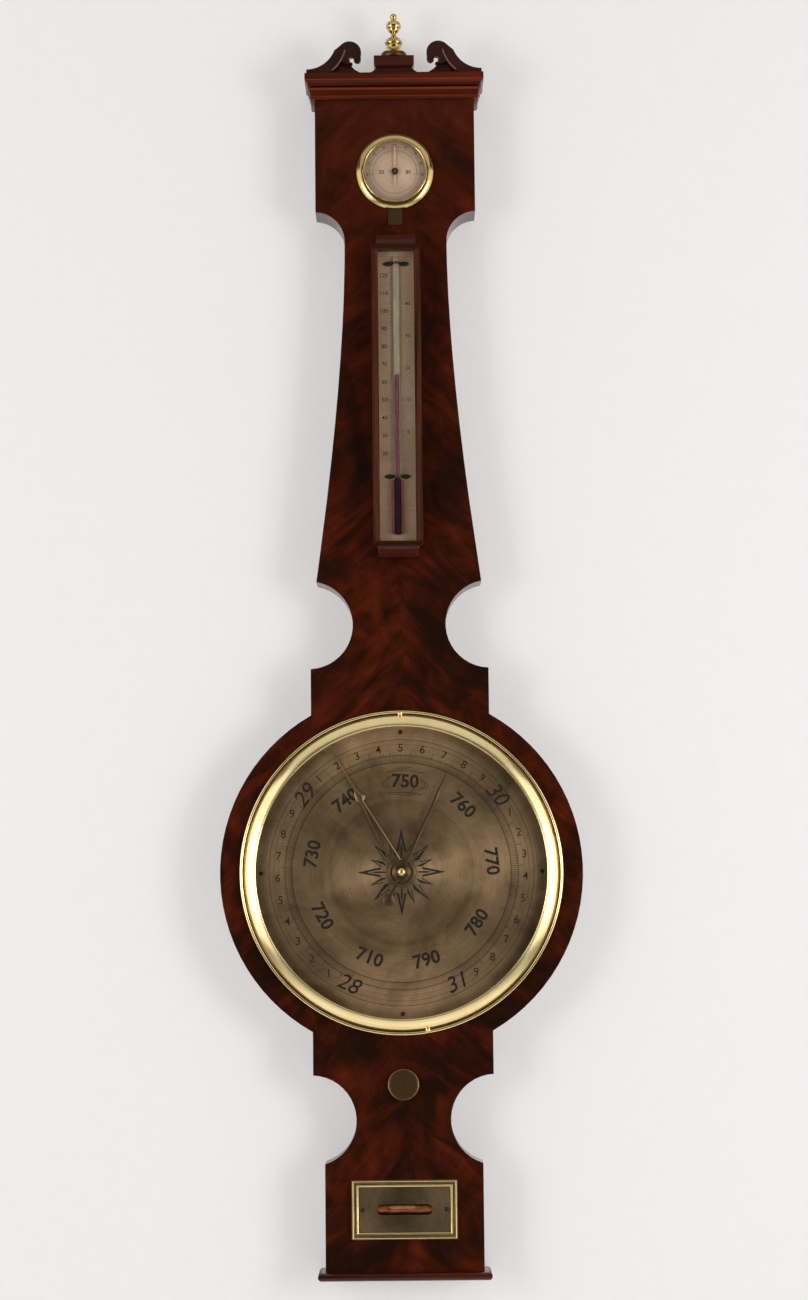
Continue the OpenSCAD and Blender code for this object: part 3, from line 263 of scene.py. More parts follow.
def silvered_finish(name, centre, stops, rough, metal, swirl=0.86, spots=0.6, painted_light=None):
    """Silvered brass, turned in fine rings round a centre and tarnished in clouds.

    The last argument gives two radii and how much paler the plate is painted inside, outside and at its
    sides: painted light and shade."""
    finish, tree, shader = new_finish(name)
    from_centre = place(tree, (1, 1, 1), tuple(-v for v in centre))
    point = sides(tree, from_centre)
    flat = add(tree, "ShaderNodeCombineXYZ")
    join(tree, point["X"], flat.inputs["X"])
    join(tree, point["Z"], flat.inputs["Z"])
    length = add(tree, "ShaderNodeVectorMath", operation="LENGTH")
    join(tree, flat.outputs[0], length.inputs[0])
    radius = length.outputs["Value"]

    def circles(scale, detail):
        noise = add(tree, "ShaderNodeTexNoise", noise_dimensions="1D")
        noise.inputs["Scale"].default_value = scale
        noise.inputs["Detail"].default_value = detail
        join(tree, radius, noise.inputs["W"])
        return noise.outputs["Fac"]

    rings = circles(700, 3)
    bands = circles(60, 2)
    stain = clouds(tree, from_centre, 17, 5, 0.6, 0.5)
    fine = clouds(tree, from_centre, 240, 3, 0.65)
    colour = ramp(tree, weighed(tree, stain, 0.75, bands, 0.25), *stops)
    dark = stops[0][1]
    colour = mixed(tree, span(tree, fine, 0.0, spots, 0.58, 0.78), colour, tuple(0.55 * v for v in dark))
    colour = mixed(tree, span(tree, rings, 0.0, 0.3, 0.3, 0.75), colour, tuple(0.7 * v for v in dark))
    # Painted light and shade: the colour is scaled up or down by radius and by how far to the side the
    # point lies.
    if painted_light:
        inner, outer, near, far, beside = painted_light
        sideways = sums(tree, "DIVIDE", sums(tree, "ABSOLUTE", point["X"]), radius)
        gain = sums(tree, "SUBTRACT", span(tree, sideways, far, beside, 0.35, 0.95), near)
        reached = span(tree, radius, 0.0, 1.0, inner * MM, outer * MM)
        painted_light_scale = add(tree, "ShaderNodeVectorMath", operation="SCALE")
        join(tree, colour, painted_light_scale.inputs[0])
        join(tree, sums(tree, "ADD", sums(tree, "MULTIPLY", reached, gain), near), painted_light_scale.inputs["Scale"])
        colour = painted_light_scale.outputs[0]
    join(tree, colour, shader.inputs["Base Color"])
    shader.inputs["Metallic"].default_value = metal
    shader.inputs["Specular IOR Level"].default_value = 0.2
    join(tree, span(tree, stain, rough - 0.05, rough + 0.08, 0.3, 0.7), shader.inputs["Roughness"])
    if swirl:
        shader.inputs["Anisotropic"].default_value = swirl
        outward = add(tree, "ShaderNodeVectorMath", operation="NORMALIZE")
        join(tree, flat.outputs[0], outward.inputs[0])
        join(tree, outward.outputs[0], shader.inputs["Tangent"])
    dented(tree, shader, rings, 0.05, 0.0001)
    return finish


def glass_finish(name, tint=(0.97, 0.98, 0.96), shine=0.02, gloss=1.0):
    """Thin old glass: what lies behind shows through, and its face takes a clear gloss."""
    finish, tree, shader = new_finish(name)
    shader.inputs["Base Color"].default_value = (*tint, 1)
    shader.inputs["Transmission Weight"].default_value = 1.0
    dust = span(tree, clouds(tree, place(tree), 45, 4, 0.6), shine, shine + 0.03, 0.3, 0.7)
    join(tree, dust, shader.inputs["Roughness"])
    shiny = add(tree, "ShaderNodeBsdfGlossy")
    join(tree, dust, shiny.inputs["Roughness"])
    clear = add(tree, "ShaderNodeBsdfTransparent")
    clear.inputs["Color"].default_value = (*tint, 1)
    edge = add(tree, "ShaderNodeFresnel")
    edge.inputs["IOR"].default_value = 1.4
    face = add(tree, "ShaderNodeNewGeometry")
    outside = sums(tree, "MULTIPLY", sums(tree, "SUBTRACT", 1.0, face.outputs["Backfacing"]), gloss)
    thin = add(tree, "ShaderNodeMixShader")
    join(tree, sums(tree, "MULTIPLY", edge.outputs[0], outside), thin.inputs[0])
    join(tree, clear.outputs[0], thin.inputs[1])
    join(tree, shiny.outputs[0], thin.inputs[2])
    join(tree, thin.outputs[0], tree.nodes["Material Output"].inputs["Surface"])
    return finish


def liquid_finish(name, deep, pale, rough=0.12, coat=0.3, gloss=0.3):
    finish, tree, shader = new_finish(name)
    drift = clouds(tree, place(tree), 120, 2)
    join(tree, ramp(tree, drift, (0.35, deep), (0.7, pale)), shader.inputs["Base Color"])
    join(tree, span(tree, drift, rough, rough + 0.08), shader.inputs["Roughness"])
    shader.inputs["Coat Weight"].default_value = coat
    shader.inputs["Specular IOR Level"].default_value = gloss
    return finish


def fibre_finish(name, dark, light, scale):
    """Twisted or split fibre with a dull face."""
    finish, tree, shader = new_finish(name)
    strands = clouds(tree, place(tree, (1, 1, 0.2), turn=(0.5, 0.3, 0)), scale, 3)
    join(tree, ramp(tree, strands, (0.35, dark), (0.7, light)), shader.inputs["Base Color"])
    join(tree, span(tree, strands, 0.55, 0.75), shader.inputs["Roughness"])
    shader.inputs["Specular IOR Level"].default_value = 0.25
    dented(tree, shader, strands, 0.3, 0.0001)
    return finish


GRAIN_ACROSS = (0.04, 1, 1)
veneer = flame_veneer_finish()
mahogany = mahogany_finish("plain_mahogany", (0.013, 0.0035, 0.0018), (0.075, 0.0145, 0.0048))
mahogany_across = mahogany_finish("cross_mahogany", (0.012, 0.003, 0.0014), (0.066, 0.0100, 0.0028),
                                  GRAIN_ACROSS, gloss=0.25)
side_mahogany = mahogany_finish("side_mahogany", (0.016, 0.0045, 0.0024), (0.085, 0.0185, 0.0065),
                                gloss=0.8)
stile_mahogany = mahogany_finish("stile_mahogany", (0.022, 0.0055, 0.0028), (0.125, 0.0280, 0.0090))
# The cornice's beads get painted highlights at three heights.
cornice_mahogany = mahogany_finish("cornice_mahogany", (0.015, 0.0036, 0.0016), (0.086, 0.0122, 0.0030),
                                   GRAIN_ACROSS, ((671.3, 1.5, 0.9), (676.8, 1.5, 0.9), (684.3, 0.7, 0.9)),
                                   gloss=0.12)
dark_mahogany = mahogany_finish("dark_mahogany", (0.009, 0.0036, 0.0026), (0.038, 0.0088, 0.0046),
                                (0.3, 1, 0.08), gloss=0.2)
# A pale mahogany for the swan necks' beads: a painted highlight along the moulding.
highlit_mahogany = mahogany_finish("highlit_mahogany", (0.06, 0.026, 0.018), (0.17, 0.090, 0.066),
                                  (0.3, 1, 0.3))
pine = pine_finish()
brass = metal_finish("polished_brass", (0.86, 0.67, 0.30), (0.74, 0.54, 0.21), 0.10, 0.22)
old_gold = metal_finish("old_gold", (0.62, 0.45, 0.19), (0.48, 0.33, 0.12), 0.13, 0.22, patches=40, marks=0)
aged_brass = metal_finish("aged_brass", (0.26, 0.165, 0.075), (0.15, 0.09, 0.038), 0.34, 0.48)
satin_brass = metal_finish("satin_brass", (0.90, 0.73, 0.38), (0.83, 0.65, 0.31), 0.17, 0.22,
                           patches=30, marks=0)
worn_brass = metal_finish("worn_brass", (0.22, 0.145, 0.075), (0.15, 0.095, 0.048), 0.38, 0.50)
dull_brass = metal_finish("dull_brass", (0.115, 0.062, 0.026), (0.075, 0.040, 0.017), 0.40, 0.52)
blued_steel = metal_finish("blued_steel", (0.045, 0.040, 0.042), (0.026, 0.022, 0.022), 0.28, 0.42)
bronzed_steel = metal_finish("bronzed_steel", (0.105, 0.070, 0.042), (0.065, 0.043, 0.026), 0.36, 0.48)
# The dial is painted paler towards the bezel, against its shade, and darker at its sides, where the side
# lamps glint: painted light and shade.
dial_silver = silvered_finish("dial_silver", spot(0, 0, 0),
                              ((0.38, (0.150, 0.090, 0.046)), (0.63, (0.420, 0.264, 0.150))),
                              0.42, 0.66, painted_light=(40, 125, 0.93, 1.85, 0.62))
scale_silver = silvered_finish("scale_silver", spot(0, 410, 0),
                               ((0.36, (0.41, 0.265, 0.177)), (0.64, (0.57, 0.385, 0.264))),
                               0.42, 0.25, 0.0, 0.35)
# The hygrometer dial is painted darker towards its edge: painted shadow of the bezel.
hygrometer_silver = silvered_finish("hygrometer_silver", spot(0, HYGROMETER, 0),
                                    ((0.34, (0.56, 0.370, 0.275)), (0.66, (0.76, 0.540, 0.420))),
                                    0.38, 0.35, 0.6, 0.3, painted_light=(12, 27, 1.06, 0.82, 0.82))
# The level plate is painted paler towards its ends: painted reflection.
level_silver = silvered_finish("level_silver", spot(0, LEVEL, 0),
                               ((0.36, (0.045, 0.030, 0.015)), (0.64, (0.125, 0.085, 0.045))),
                               0.34, 0.4, 0.0, painted_light=(8, 42, 0.6, 1.75, 1.75))
wax = fibre_finish("engraving_wax", (0.008, 0.006, 0.005), (0.022, 0.016, 0.011), 700)
pane = glass_finish("clear_glass")
tube_glass = glass_finish("tube_glass", (0.985, 0.985, 0.97), 0.03)
stem_glass = glass_finish("stem_glass", (0.99, 0.985, 0.975), 0.05, 0.12)
quicksilver = metal_finish("mercury", (0.78, 0.78, 0.79), (0.62, 0.62, 0.64), 0.04, 0.12)
red_spirit = liquid_finish("red_spirit", (0.130, 0.034, 0.056), (0.180, 0.050, 0.074))
bulb_spirit = liquid_finish("bulb_spirit", (0.014, 0.005, 0.013), (0.028, 0.010, 0.024), 0.45, 0.0, 0.05)
# A pale red: painted reflection of the spirit on the scale beside the bulb.
bulb_reflection = liquid_finish("bulb_reflection", (0.36, 0.085, 0.070), (0.45, 0.120, 0.095), 0.4, 0.0)
amber_spirit = liquid_finish("amber_spirit", (0.15, 0.034, 0.010), (0.32, 0.10, 0.032))
bubble_amber = liquid_finish("bubble_amber", (0.30, 0.105, 0.036), (0.42, 0.17, 0.065), 0.08, 0.6)
enamel = fibre_finish("tube_enamel", (0.29, 0.215, 0.165), (0.37, 0.280, 0.215), 300)
silk = fibre_finish("silk_cord", (0.32, 0.26, 0.17), (0.52, 0.44, 0.31), 900)
straw = fibre_finish("straw", (0.50, 0.30, 0.13), (0.72, 0.48, 0.24), 800)


# Makers of pieces

def put(name, data):
    """An object at the origin, linked into the scene."""
    obj = bpy.data.objects.new(name, data)
    bpy.context.scene.collection.objects.link(obj)
    return obj


def mesh_of(name, bm, finish):
    mesh = bpy.data.meshes.new(name)
    bm.to_mesh(mesh)
    bm.free()
    mesh.materials.append(finish)
    return mesh


def mesh_of_curve(curve):
    """The mesh of a curve or text, which is then removed."""
    carrier = put(curve.name, curve)
    mesh = bpy.data.meshes.new_from_object(carrier.evaluated_get(bpy.context.evaluated_depsgraph_get()))
    bpy.data.objects.remove(carrier)
    bpy.data.curves.remove(curve)
    return mesh


def take_in(bm, mesh):
    """Adds a loose mesh to a bmesh and removes it."""
    bm.from_mesh(mesh)
    bpy.data.meshes.remove(mesh)


def piece(name, bm, finish, body, slot, *stands_for, angle=35):
    """Turns a bmesh into a finished object on its body, or on none."""
    bmesh.ops.remove_doubles(bm, verts=bm.verts, dist=1e-7)
    mesh = mesh_of(name, bm, finish)
    mesh.shade_smooth()
    mesh.set_sharp_from_angle(angle=math.radians(angle))
    obj = put(name, mesh)
    if body:
        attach(obj, body)
    if stands_for:
        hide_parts(*stands_for)
    return obj


def skin(bm):
    """Merges doubled points and turns the faces outwards."""
    bmesh.ops.remove_doubles(bm, verts=bm.verts, dist=1e-6)
    bmesh.ops.recalc_face_normals(bm, faces=bm.faces)


def round_edges(bm, edges, width, steps):
    bmesh.ops.bevel(bm, geom=edges, offset=width * MM, offset_type="OFFSET", segments=steps, profile=0.5,
                    affect="EDGES", material=-1, clamp_overlap=True)


def eased(node, width, finish, slot, steps=2, corner=28, front_only=False, flat=True):
    """A copy of a solid with its sharp edges rounded and, where flat, its front and back shaded flat."""
    bm = bmesh.new()
    bm.from_mesh(nodes[node].data)
    bmesh.ops.remove_doubles(bm, verts=bm.verts, dist=2e-6)
    bmesh.ops.dissolve_limit(bm, angle_limit=math.radians(0.6), verts=bm.verts, edges=bm.edges)
    if width:
        front = min(v.co.y for v in bm.verts) + 2e-5
        sharp = [e for e in bm.edges if len(e.link_faces) == 2
                 and e.calc_face_angle(0) > math.radians(corner)
                 and (not front_only or all(v.co.y < front for v in e.verts))]
        round_edges(bm, sharp, width, steps)
    copy = piece(node + "_piece", bm, finish, body_of_node[node], slot, node, angle=corner)
    for face in copy.data.polygons:
        if flat and abs(face.normal.y) > 0.9999:
            face.use_smooth = False


def tarnish(obj, finish, in_groove):
    """Gives the faces whose middle lies in a groove a darker finish: painted shade in the hollow."""
    obj.data.materials.append(finish)
    for face in obj.data.polygons:
        if in_groove(face.center):
            face.material_index = 1


def from_axis(at, height):
    """How far a point lies from an axis square to the wall, in millimetres."""
    return (at - spot(0, height, 0)).xz.length / MM


def spun(bm, points, centre, axis, steps, sweep=FULL_TURN):
    """Spins a run of joined points round an axis."""
    verts = [bm.verts.new(p) for p in points]
    edges = [bm.edges.new(pair) for pair in zip(verts, verts[1:])]
    bmesh.ops.spin(bm, geom=verts + edges, cent=centre, axis=axis, angle=sweep, steps=steps,
                   use_merge=sweep == FULL_TURN, dvec=(0, 0, 0))


def turned(bm, profile, x, height, steps, closed=False):
    """Spins a profile of radius and depth round an axis square to the wall."""
    points = [spot(x + r, height, depth) for r, depth in profile]
    if closed:
        points.append(points[0])
    spun(bm, points, spot(x, height, 0), (0, 1, 0), steps)
    skin(bm)


def upright(bm, profile, x, depth, steps):
    """Spins a profile of radius and height round an upright axis."""
    spun(bm, [spot(x + r, height, depth) for r, height in profile], spot(x, 0, depth), (0, 0, 1), steps)
    skin(bm)


def lying(bm, profile, x, height, depth, steps):
    """Spins a profile of length and radius round a level axis along the wall."""
    points = [spot(along + x, height + r, depth) for along, r in profile]
    spun(bm, points, spot(0, height, depth), (1, 0, 0), steps)
    skin(bm)


def bar(bm, x, height, depth, size, turn=0.0):
    """A straight bar of a width, depth and height, turned square to the wall."""
    wide, deep, high = size
    shaped = Matrix.Rotation(turn, 4, "Y") @ Matrix.Diagonal((wide * MM, deep * MM, high * MM, 1))
    bmesh.ops.create_cube(bm, size=1, matrix=Matrix.Translation(spot(x, height, depth)) @ shaped)


def arc(cx, cy, r, start, end, steps):
    """Points on an arc, angles in degrees."""
    angles = [math.radians(start + (end - start) * i / steps) for i in range(steps + 1)]
    return [(cx + r * math.cos(a), cy + r * math.sin(a)) for a in angles]


def tube_along(name, points, radius, finish, body, slot, *stands_for, loop=False, sides=6):
    """A round tube or line through a run of points."""
    path = bpy.data.curves.new(name, "CURVE")
    path.dimensions = "3D"
    line = path.splines.new("POLY")
    line.points.add(len(points) - 1)
    for knot, point in zip(line.points, points):
        knot.co = (*point, 1)
    line.use_cyclic_u = loop
    path.bevel_depth = radius * MM
    path.bevel_resolution = sides
    path.use_fill_caps = not loop
    bm = bmesh.new()
    take_in(bm, mesh_of_curve(path))
    skin(bm)
    return piece(name, bm, finish, body, slot, *stands_for, angle=50)


# Engraving, drawn flat in millimetres and laid on its plate

def draw_ring(sheet, radius, width, steps=180):
    inner = bmesh.ops.create_circle(sheet, segments=steps, radius=radius - width / 2)["verts"]
    outer = bmesh.ops.create_circle(sheet, segments=steps, radius=radius + width / 2)["verts"]
    both = set(inner + outer)
    rims = [e for e in sheet.edges if e.verts[0] in both and e.verts[1] in both]
    bmesh.ops.bridge_loops(sheet, edges=rims)


def draw_shape(sheet, points):
    sheet.faces.new([sheet.verts.new((x, y, 0)) for x, y in points])


def draw_bar(sheet, x0, x1, y, width):
    """A level mark from x0 to x1."""
    low, high = y - width / 2, y + width / 2
    draw_shape(sheet, [(x0, low), (x1, low), (x1, high), (x0, high)])


def round_point(radius, angle, x=0.0, y=0.0):
    """A point at a clock angle from twelve, in degrees."""
    return (x + radius * math.sin(math.radians(angle)), y + radius * math.cos(math.radians(angle)))


def draw_tick(sheet, angle, inner, outer, width):
    narrow = math.degrees(width / 2 / inner)
    wide = math.degrees(width / 2 / outer)
    draw_shape(sheet, [round_point(inner, angle + narrow), round_point(outer, angle + wide),
                       round_point(outer, angle - wide), round_point(inner, angle - narrow)])


def draw_arc(sheet, radius, width, start, end, steps=24, x=0.0, y=0.0):
    inner, outer = radius - width / 2, radius + width / 2
    for i in range(steps):
        a = start + (end - start) * i / steps
        b = start + (end - start) * (i + 1) / steps
        corners = ((inner, a), (inner, b), (outer, b), (outer, a))
        draw_shape(sheet, [round_point(r, angle, x, y) for r, angle in corners])


def draw_number(sheet, figures, size, x, y, turn=0.0, weight=0.0, slant=0.0):
    """Plain figures, turned clockwise in degrees."""
    text = bpy.data.curves.new("figures", "FONT")
    text.body = figures
    text.size = size
    text.align_x = "CENTER"
    text.align_y = "CENTER"
    text.offset = weight
    text.shear = slant
    text.resolution_u = 3
    mesh = mesh_of_curve(text)
    mesh.transform(Matrix.Translation((x, y, 0)) @ Matrix.Rotation(math.radians(-turn), 4, "Z"))
    take_in(sheet, mesh)


def lay(name, sheet, height, depth, body, slot, thick=0.06, finish=wax, *stands_for):
    """Gives a flat drawing its thickness and lays it in front of the wall, at a height and a depth."""
    bmesh.ops.remove_doubles(sheet, verts=sheet.verts, dist=1e-4)
    bmesh.ops.dissolve_degenerate(sheet, dist=1e-4, edges=sheet.edges)
    raised = bmesh.ops.extrude_face_region(sheet, geom=sheet.faces[:])["geom"]
    top = [v for v in raised if isinstance(v, bmesh.types.BMVert)]
    bmesh.ops.translate(sheet, vec=(0, 0, thick), verts=top)
    bmesh.ops.recalc_face_normals(sheet, faces=sheet.faces)
    bmesh.ops.transform(sheet, matrix=Matrix.Scale(MM, 4), verts=sheet.verts)
    stand_up = Matrix.Translation(spot(0, height, depth)) @ Matrix.Rotation(math.pi / 2, 4, "X")
    bmesh.ops.transform(sheet, matrix=stand_up, verts=sheet.verts)
    piece(name, sheet, finish, body, slot, *stands_for, angle=30)


# Wooden case

eased("case_carcass", 0, side_mahogany, "mahogany", corner=32)
eased("front_veneer", 0.35, veneer, "flame_veneer", front_only=True, corner=32)
eased("base_moulding", 0, mahogany_across, "mahogany", corner=40)
eased("cornice_front", 0.25, cornice_mahogany, "mahogany", corner=32)
eased("cornice_returns", 0.25, cornice_mahogany, "mahogany", corner=32)
eased("pediment_board", 0.5, mahogany_across, "mahogany", corner=40)
eased("swan_necks", 2.6, dark_mahogany, "mahogany", steps=5, front_only=True, corner=40)
# Beads along the swan necks in a pale finish: painted highlights where the moulding catches the light.
bead_line = arc(76, 720, 34.9, 195, 231, 18)
for side, name in ((-1, "swan_bead_left"), (1, "swan_bead_right")):
    tube_along(name, [spot(side * x, height, 39.4) for x, height in bead_line], 0.85, highlit_mahogany,
               "case", "mahogany")
eased("finial_plinth", 0.4, mahogany_across, "mahogany")
eased("thermometer_stiles", 0.35, stile_mahogany, "mahogany")
eased("thermometer_caps", 0.35, mahogany_across, "mahogany", corner=40)
eased("back_door", 0.5, pine, "pine")
eased("tube_clamps", 0.4, pine, "pine", corner=40)

# Brass mounts

bezel = bmesh.new()
turned(bezel, [(127.8, CASE_FRONT), (136.5, CASE_FRONT)] + arc(135.1, 35.8, 1.4, 0, 165, 10)
       + arc(119.13, 18.79, 21.3, 48, 76, 16) + arc(124.1, 38.65, 0.8, 80, 180, 8)
       + [(123.2, 38.3), (123, 38.2), (123, 37.95), (125.3, 37.67), (125.3, 34.8), (127.8, 34.8)],
       0, 0, 192, closed=True)
main_rim = piece("main_bezel_piece", bezel, satin_brass, "case", "brass", "main_bezel")
# A darker finish in the groove between the outer bead and the band: painted shade.
tarnish(main_rim, aged_brass, lambda at: 133.0 < from_axis(at, 0) < 134.1)

pins = bmesh.new()
for angle in (0, 171):
    turned(pins, [(0, 34.2), (2.2, 34.2), (2.2, 36.4)] + arc(0, 35.9, 2.26, 13, 90, 8),
           *round_point(133.9, angle), 32)
piece("bezel_pin_heads", pins, brass, "case", "brass", "bezel_pins")

# The hygrometer's bezel stands on a flange that is open for the setting tab
FLANGE_IN, FLANGE_OUT, FLANGE_TOP = 28, 33.3, 35.1
small_bezel = bmesh.new()
turned(small_bezel, [(FLANGE_OUT, FLANGE_TOP), (FLANGE_OUT, 35.4)] + arc(26.97, 30.08, 8.25, 42, 80, 16)
       + [(28.2, 38.0), (28.0, 38.0)] + arc(27.2, 38.9, 0.9, -30, 180, 14)
       + [(26.3, 38.6), (FLANGE_IN, 38.6), (FLANGE_IN, FLANGE_TOP)], 0, HYGROMETER, 128, closed=True)
flange_corners = ((FLANGE_IN, CASE_FRONT), (FLANGE_OUT, CASE_FRONT), (FLANGE_OUT, FLANGE_TOP),
                  (FLANGE_IN, FLANGE_TOP), (FLANGE_IN, CASE_FRONT))
hygrometer_centre = spot(0, HYGROMETER, 0)
to_gap = Matrix.Translation(hygrometer_centre) @ Matrix.Rotation(math.radians(120), 4, "Y") \
    @ Matrix.Translation(-hygrometer_centre)
flange = bmesh.new()
spun(flange, [to_gap @ spot(r, HYGROMETER, depth) for r, depth in flange_corners], hygrometer_centre,
     (0, 1, 0), 100, sweep=math.radians(300))
bmesh.ops.remove_doubles(flange, verts=flange.verts, dist=1e-6)
bmesh.ops.holes_fill(flange, edges=flange.edges, sides=4)
bmesh.ops.recalc_face_normals(flange, faces=flange.faces)
take_in(small_bezel, mesh_of("flange", flange, old_gold))
small_rim = piece("hygrometer_bezel_piece", small_bezel, old_gold, "case", "brass", "hygrometer_bezel")
# A darker finish in the groove between the band and the inner bead: painted shade.
tarnish(small_rim, aged_brass, lambda at: 27.9 < from_axis(at, HYGROMETER) < 28.4)

FINIAL_DEPTH = 28
FINIAL_FOOT = 711.2
finial = bmesh.new()
upright(finial, [(0, FINIAL_FOOT), (9.6, FINIAL_FOOT), (9.7, 711.8), (8.6, 712.4), (7.3, 713.0),
                 (6.4, 713.9), (6.0, 715.2), (6.1, 716.4), (6.35, 717.4), (6.4, 718.2), (6.2, 718.7),
                 (7.2, 719.1), (7.65, 719.8), (7.75, 720.6), (7.5, 721.4), (6.9, 721.9), (6.7, 722.3),
                 (6.5, 723.1), (5.6, 724.1), (4.4, 725.0), (3.1, 725.9), (2.3, 726.6), (1.9, 727.4),
                 (2.0, 728.4), (2.7, 729.2), (3.7, 730.0), (4.5, 731.0), (5.0, 732.2), (5.0, 732.8),
                 (4.8, 733.2), (5.9, 733.5), (6.4, 734.2), (6.6, 735.3), (6.55, 736.6), (6.1, 738.0),
                 (5.1, 739.2), (3.7, 740.0), (2.5, 740.5), (2.1, 741.1), (2.1, 741.5)]
        + arc(0, 743.9, 3.1, -47, 90, 12), 0, FINIAL_DEPTH, 64)
piece("finial_piece", finial, old_gold, "case", "brass", "finial")
# The foot under the finial takes a dark brass: painted shade at the finial's foot.
foot = bmesh.new()
upright(foot, [(0, 700.5), (2, 700.5), (2, 707), (10.9, 707), (11.1, 707.4), (11.1, 710.4), (10.8, 710.9),
               (10.2, 711.15), (0, FINIAL_FOOT)], 0, FINIAL_DEPTH, 64)
piece("finial_foot", foot, dull_brass, "case", "brass", "finial")

knob_rim = bmesh.new()
turned(knob_rim, [(0, 34.3), (12.4, 34.3), (12.4, 35.2), (13, 35.5), (13, 37.4)]
       + arc(12.5, 37.6, 0.5, 0, 180, 10) + [(12, 37.2), (0, 37.2)], 0, KNOB, 96)
piece("set_knob_rim", knob_rim, aged_brass, "knob", "brass", "set_knob")
knob_face = bmesh.new()
turned(knob_face, [(0, 37.1), (11.9, 37.1), (11.9, 37.6), (11.6, 37.7), (8.2, 37.78), (8.0, 37.75),
                   (7.8, 37.79), (4.2, 37.83), (4.0, 37.8), (3.8, 37.84), (0, 37.86)], 0, KNOB, 96)
piece("set_knob_face", knob_face, dull_brass, "knob", "aged_brass", "set_knob")

nut = bmesh.new()
turned(nut, [(0, 34.8), (3.5, 34.8)] + arc(0, 37.11, 4.2, -33, 90, 18), 0, 0, 64)
piece("centre_nut_piece", nut, brass, "index", "brass", "centre_nut")

boss = bmesh.new()
turned(boss, [(7.0, 31.3), (10.4, 31.3), (10.7, 31.7), (10.7, 32.3), (10.3, 32.7), (9.7, 32.5), (9.4, 32.2),
              (7.0, 32.2)], 0, 0, 96, closed=True)
piece("set_hand_boss", boss, aged_brass, "marker", "aged_brass")

# The level's frame is spun square and then drawn out to its width
LEVEL_WIDE, LEVEL_HIGH = 88.5, 49.3
HALF_HIGH = LEVEL_HIGH / 2
moulding = [(0, 0), (0, 2.4), (0.25, 3.2), (0.7, 3.7), (1.2, 3.75), (1.6, 3.5), (1.9, 2.9), (2.1, 2.2),
            (2.5, 1.75), (3.0, 1.6), (3.5, 1.75), (3.8, 2.15), (4.1, 2.6), (4.6, 2.9), (5.1, 2.85),
            (5.6, 2.5), (6.0, 1.9), (6.2, 1.3), (6.2, 1.02), (3.1, 1.02), (3.1, 0), (0, 0)]
level_frame = bmesh.new()
spun(level_frame, [spot(HALF_HIGH - inset, LEVEL + HALF_HIGH - inset, CASE_FRONT + rise)
                   for inset, rise in moulding], spot(0, LEVEL, 0), (0, 1, 0), 4)
bmesh.ops.remove_doubles(level_frame, verts=level_frame.verts, dist=1e-6)
for side in (-1, 1):
    bmesh.ops.translate(level_frame, vec=(side * (LEVEL_WIDE - LEVEL_HIGH) / 2 * MM, 0, 0),
                        verts=[v for v in level_frame.verts if v.co.x * side > 0])
bmesh.ops.recalc_face_normals(level_frame, faces=level_frame.faces)


def in_frame_groove(at):
    from_end = LEVEL_WIDE / 2 - abs(at.x) / MM
    from_top = HALF_HIGH - abs((at - spot(0, LEVEL, 0)).z) / MM
    return 1.85 < min(from_end, from_top) < 3.9


# The frame's hollow takes a darker finish: painted shade.
tarnish(piece("level_frame_piece", level_frame, satin_brass, "case", "brass", "level_frame"), aged_brass,
        in_frame_groove)
eased("hanging_plate", 0.2, aged_brass, "aged_brass", corner=40)
eased("hinge_case_leaves", 0.08, aged_brass, "aged_brass", corner=50)
eased("hinge_door_leaves", 0.08, aged_brass, "aged_brass", corner=50)
eased("hygrometer_tab", 0.15, dull_brass, "aged_brass", corner=40)

# Hands

eased("set_hand", 0.12, worn_brass, "aged_brass", steps=1, corner=50, flat=False)
eased("index_hand", 0.12, bronzed_steel, "blued_steel", steps=1, corner=50, flat=False)
straw_depths = [-v.co.y / MM for v in nodes["hygrometer_hand"].data.vertices]
straw_back, straw_front = min(straw_depths), max(straw_depths)
hub = bmesh.new()
turned(hub, [(0.9, straw_back - 0.05), (3.05, straw_back - 0.05), (3.05, straw_front),
             (2.6, straw_front + 0.25), (0.9, straw_front + 0.25)], 0, HYGROMETER, 40, closed=True)
straw_hand = bmesh.new()
draw_shape(straw_hand, [(-0.5, -12), (0.5, -12), (0.75, 0), (0.62, 20), (0, 24), (-0.62, 20), (-0.75, 0)])
lay("hygrometer_hand_piece", straw_hand, HYGROMETER, straw_back + 0.5, "humidity_pointer", "straw", 0.45,
    straw, "hygrometer_hand")
piece("hygrometer_hub", hub, bronzed_steel, "humidity_pointer", "blued_steel")

# Screws with slotted heads, facing the front on the dial and the level and the back on the bridge

SCREW_PROFILE = ((0, -5.9), (1, -5.9), (1, 0), (1.8, 0), (1.8, 0.5), (1.4, 0.95), (0.8, 1.17), (0, 1.2))
head_at = [(*round_point(118.5, a), DIAL_FRONT, 1) for a in (0, 90, 180, 270)]
head_at += [(side * 34.85, LEVEL, 35.0, 1) for side in (-1, 1)]
head_at += [(0, side * 24, 6.9, -1) for side in (-1, 1)]
heads = bmesh.new()
# The slots are dark bars laid on the heads: painted shade in the slots.
slot_shades = bmesh.new()
for i, (x, height, depth, way) in enumerate(head_at):
    turned(heads, [(r, depth + rise * way) for r, rise in SCREW_PROFILE], x, height, 24)
    bar(slot_shades, x, height, depth + 1.03 * way, (3.0, 0.36, 0.42), 0.6 + i * 0.7)
piece("screw_heads", heads, blued_steel, "case", "blued_steel", "round_screws")
piece("screw_slot_shades", slot_shades, wax, "case", "blued_steel")

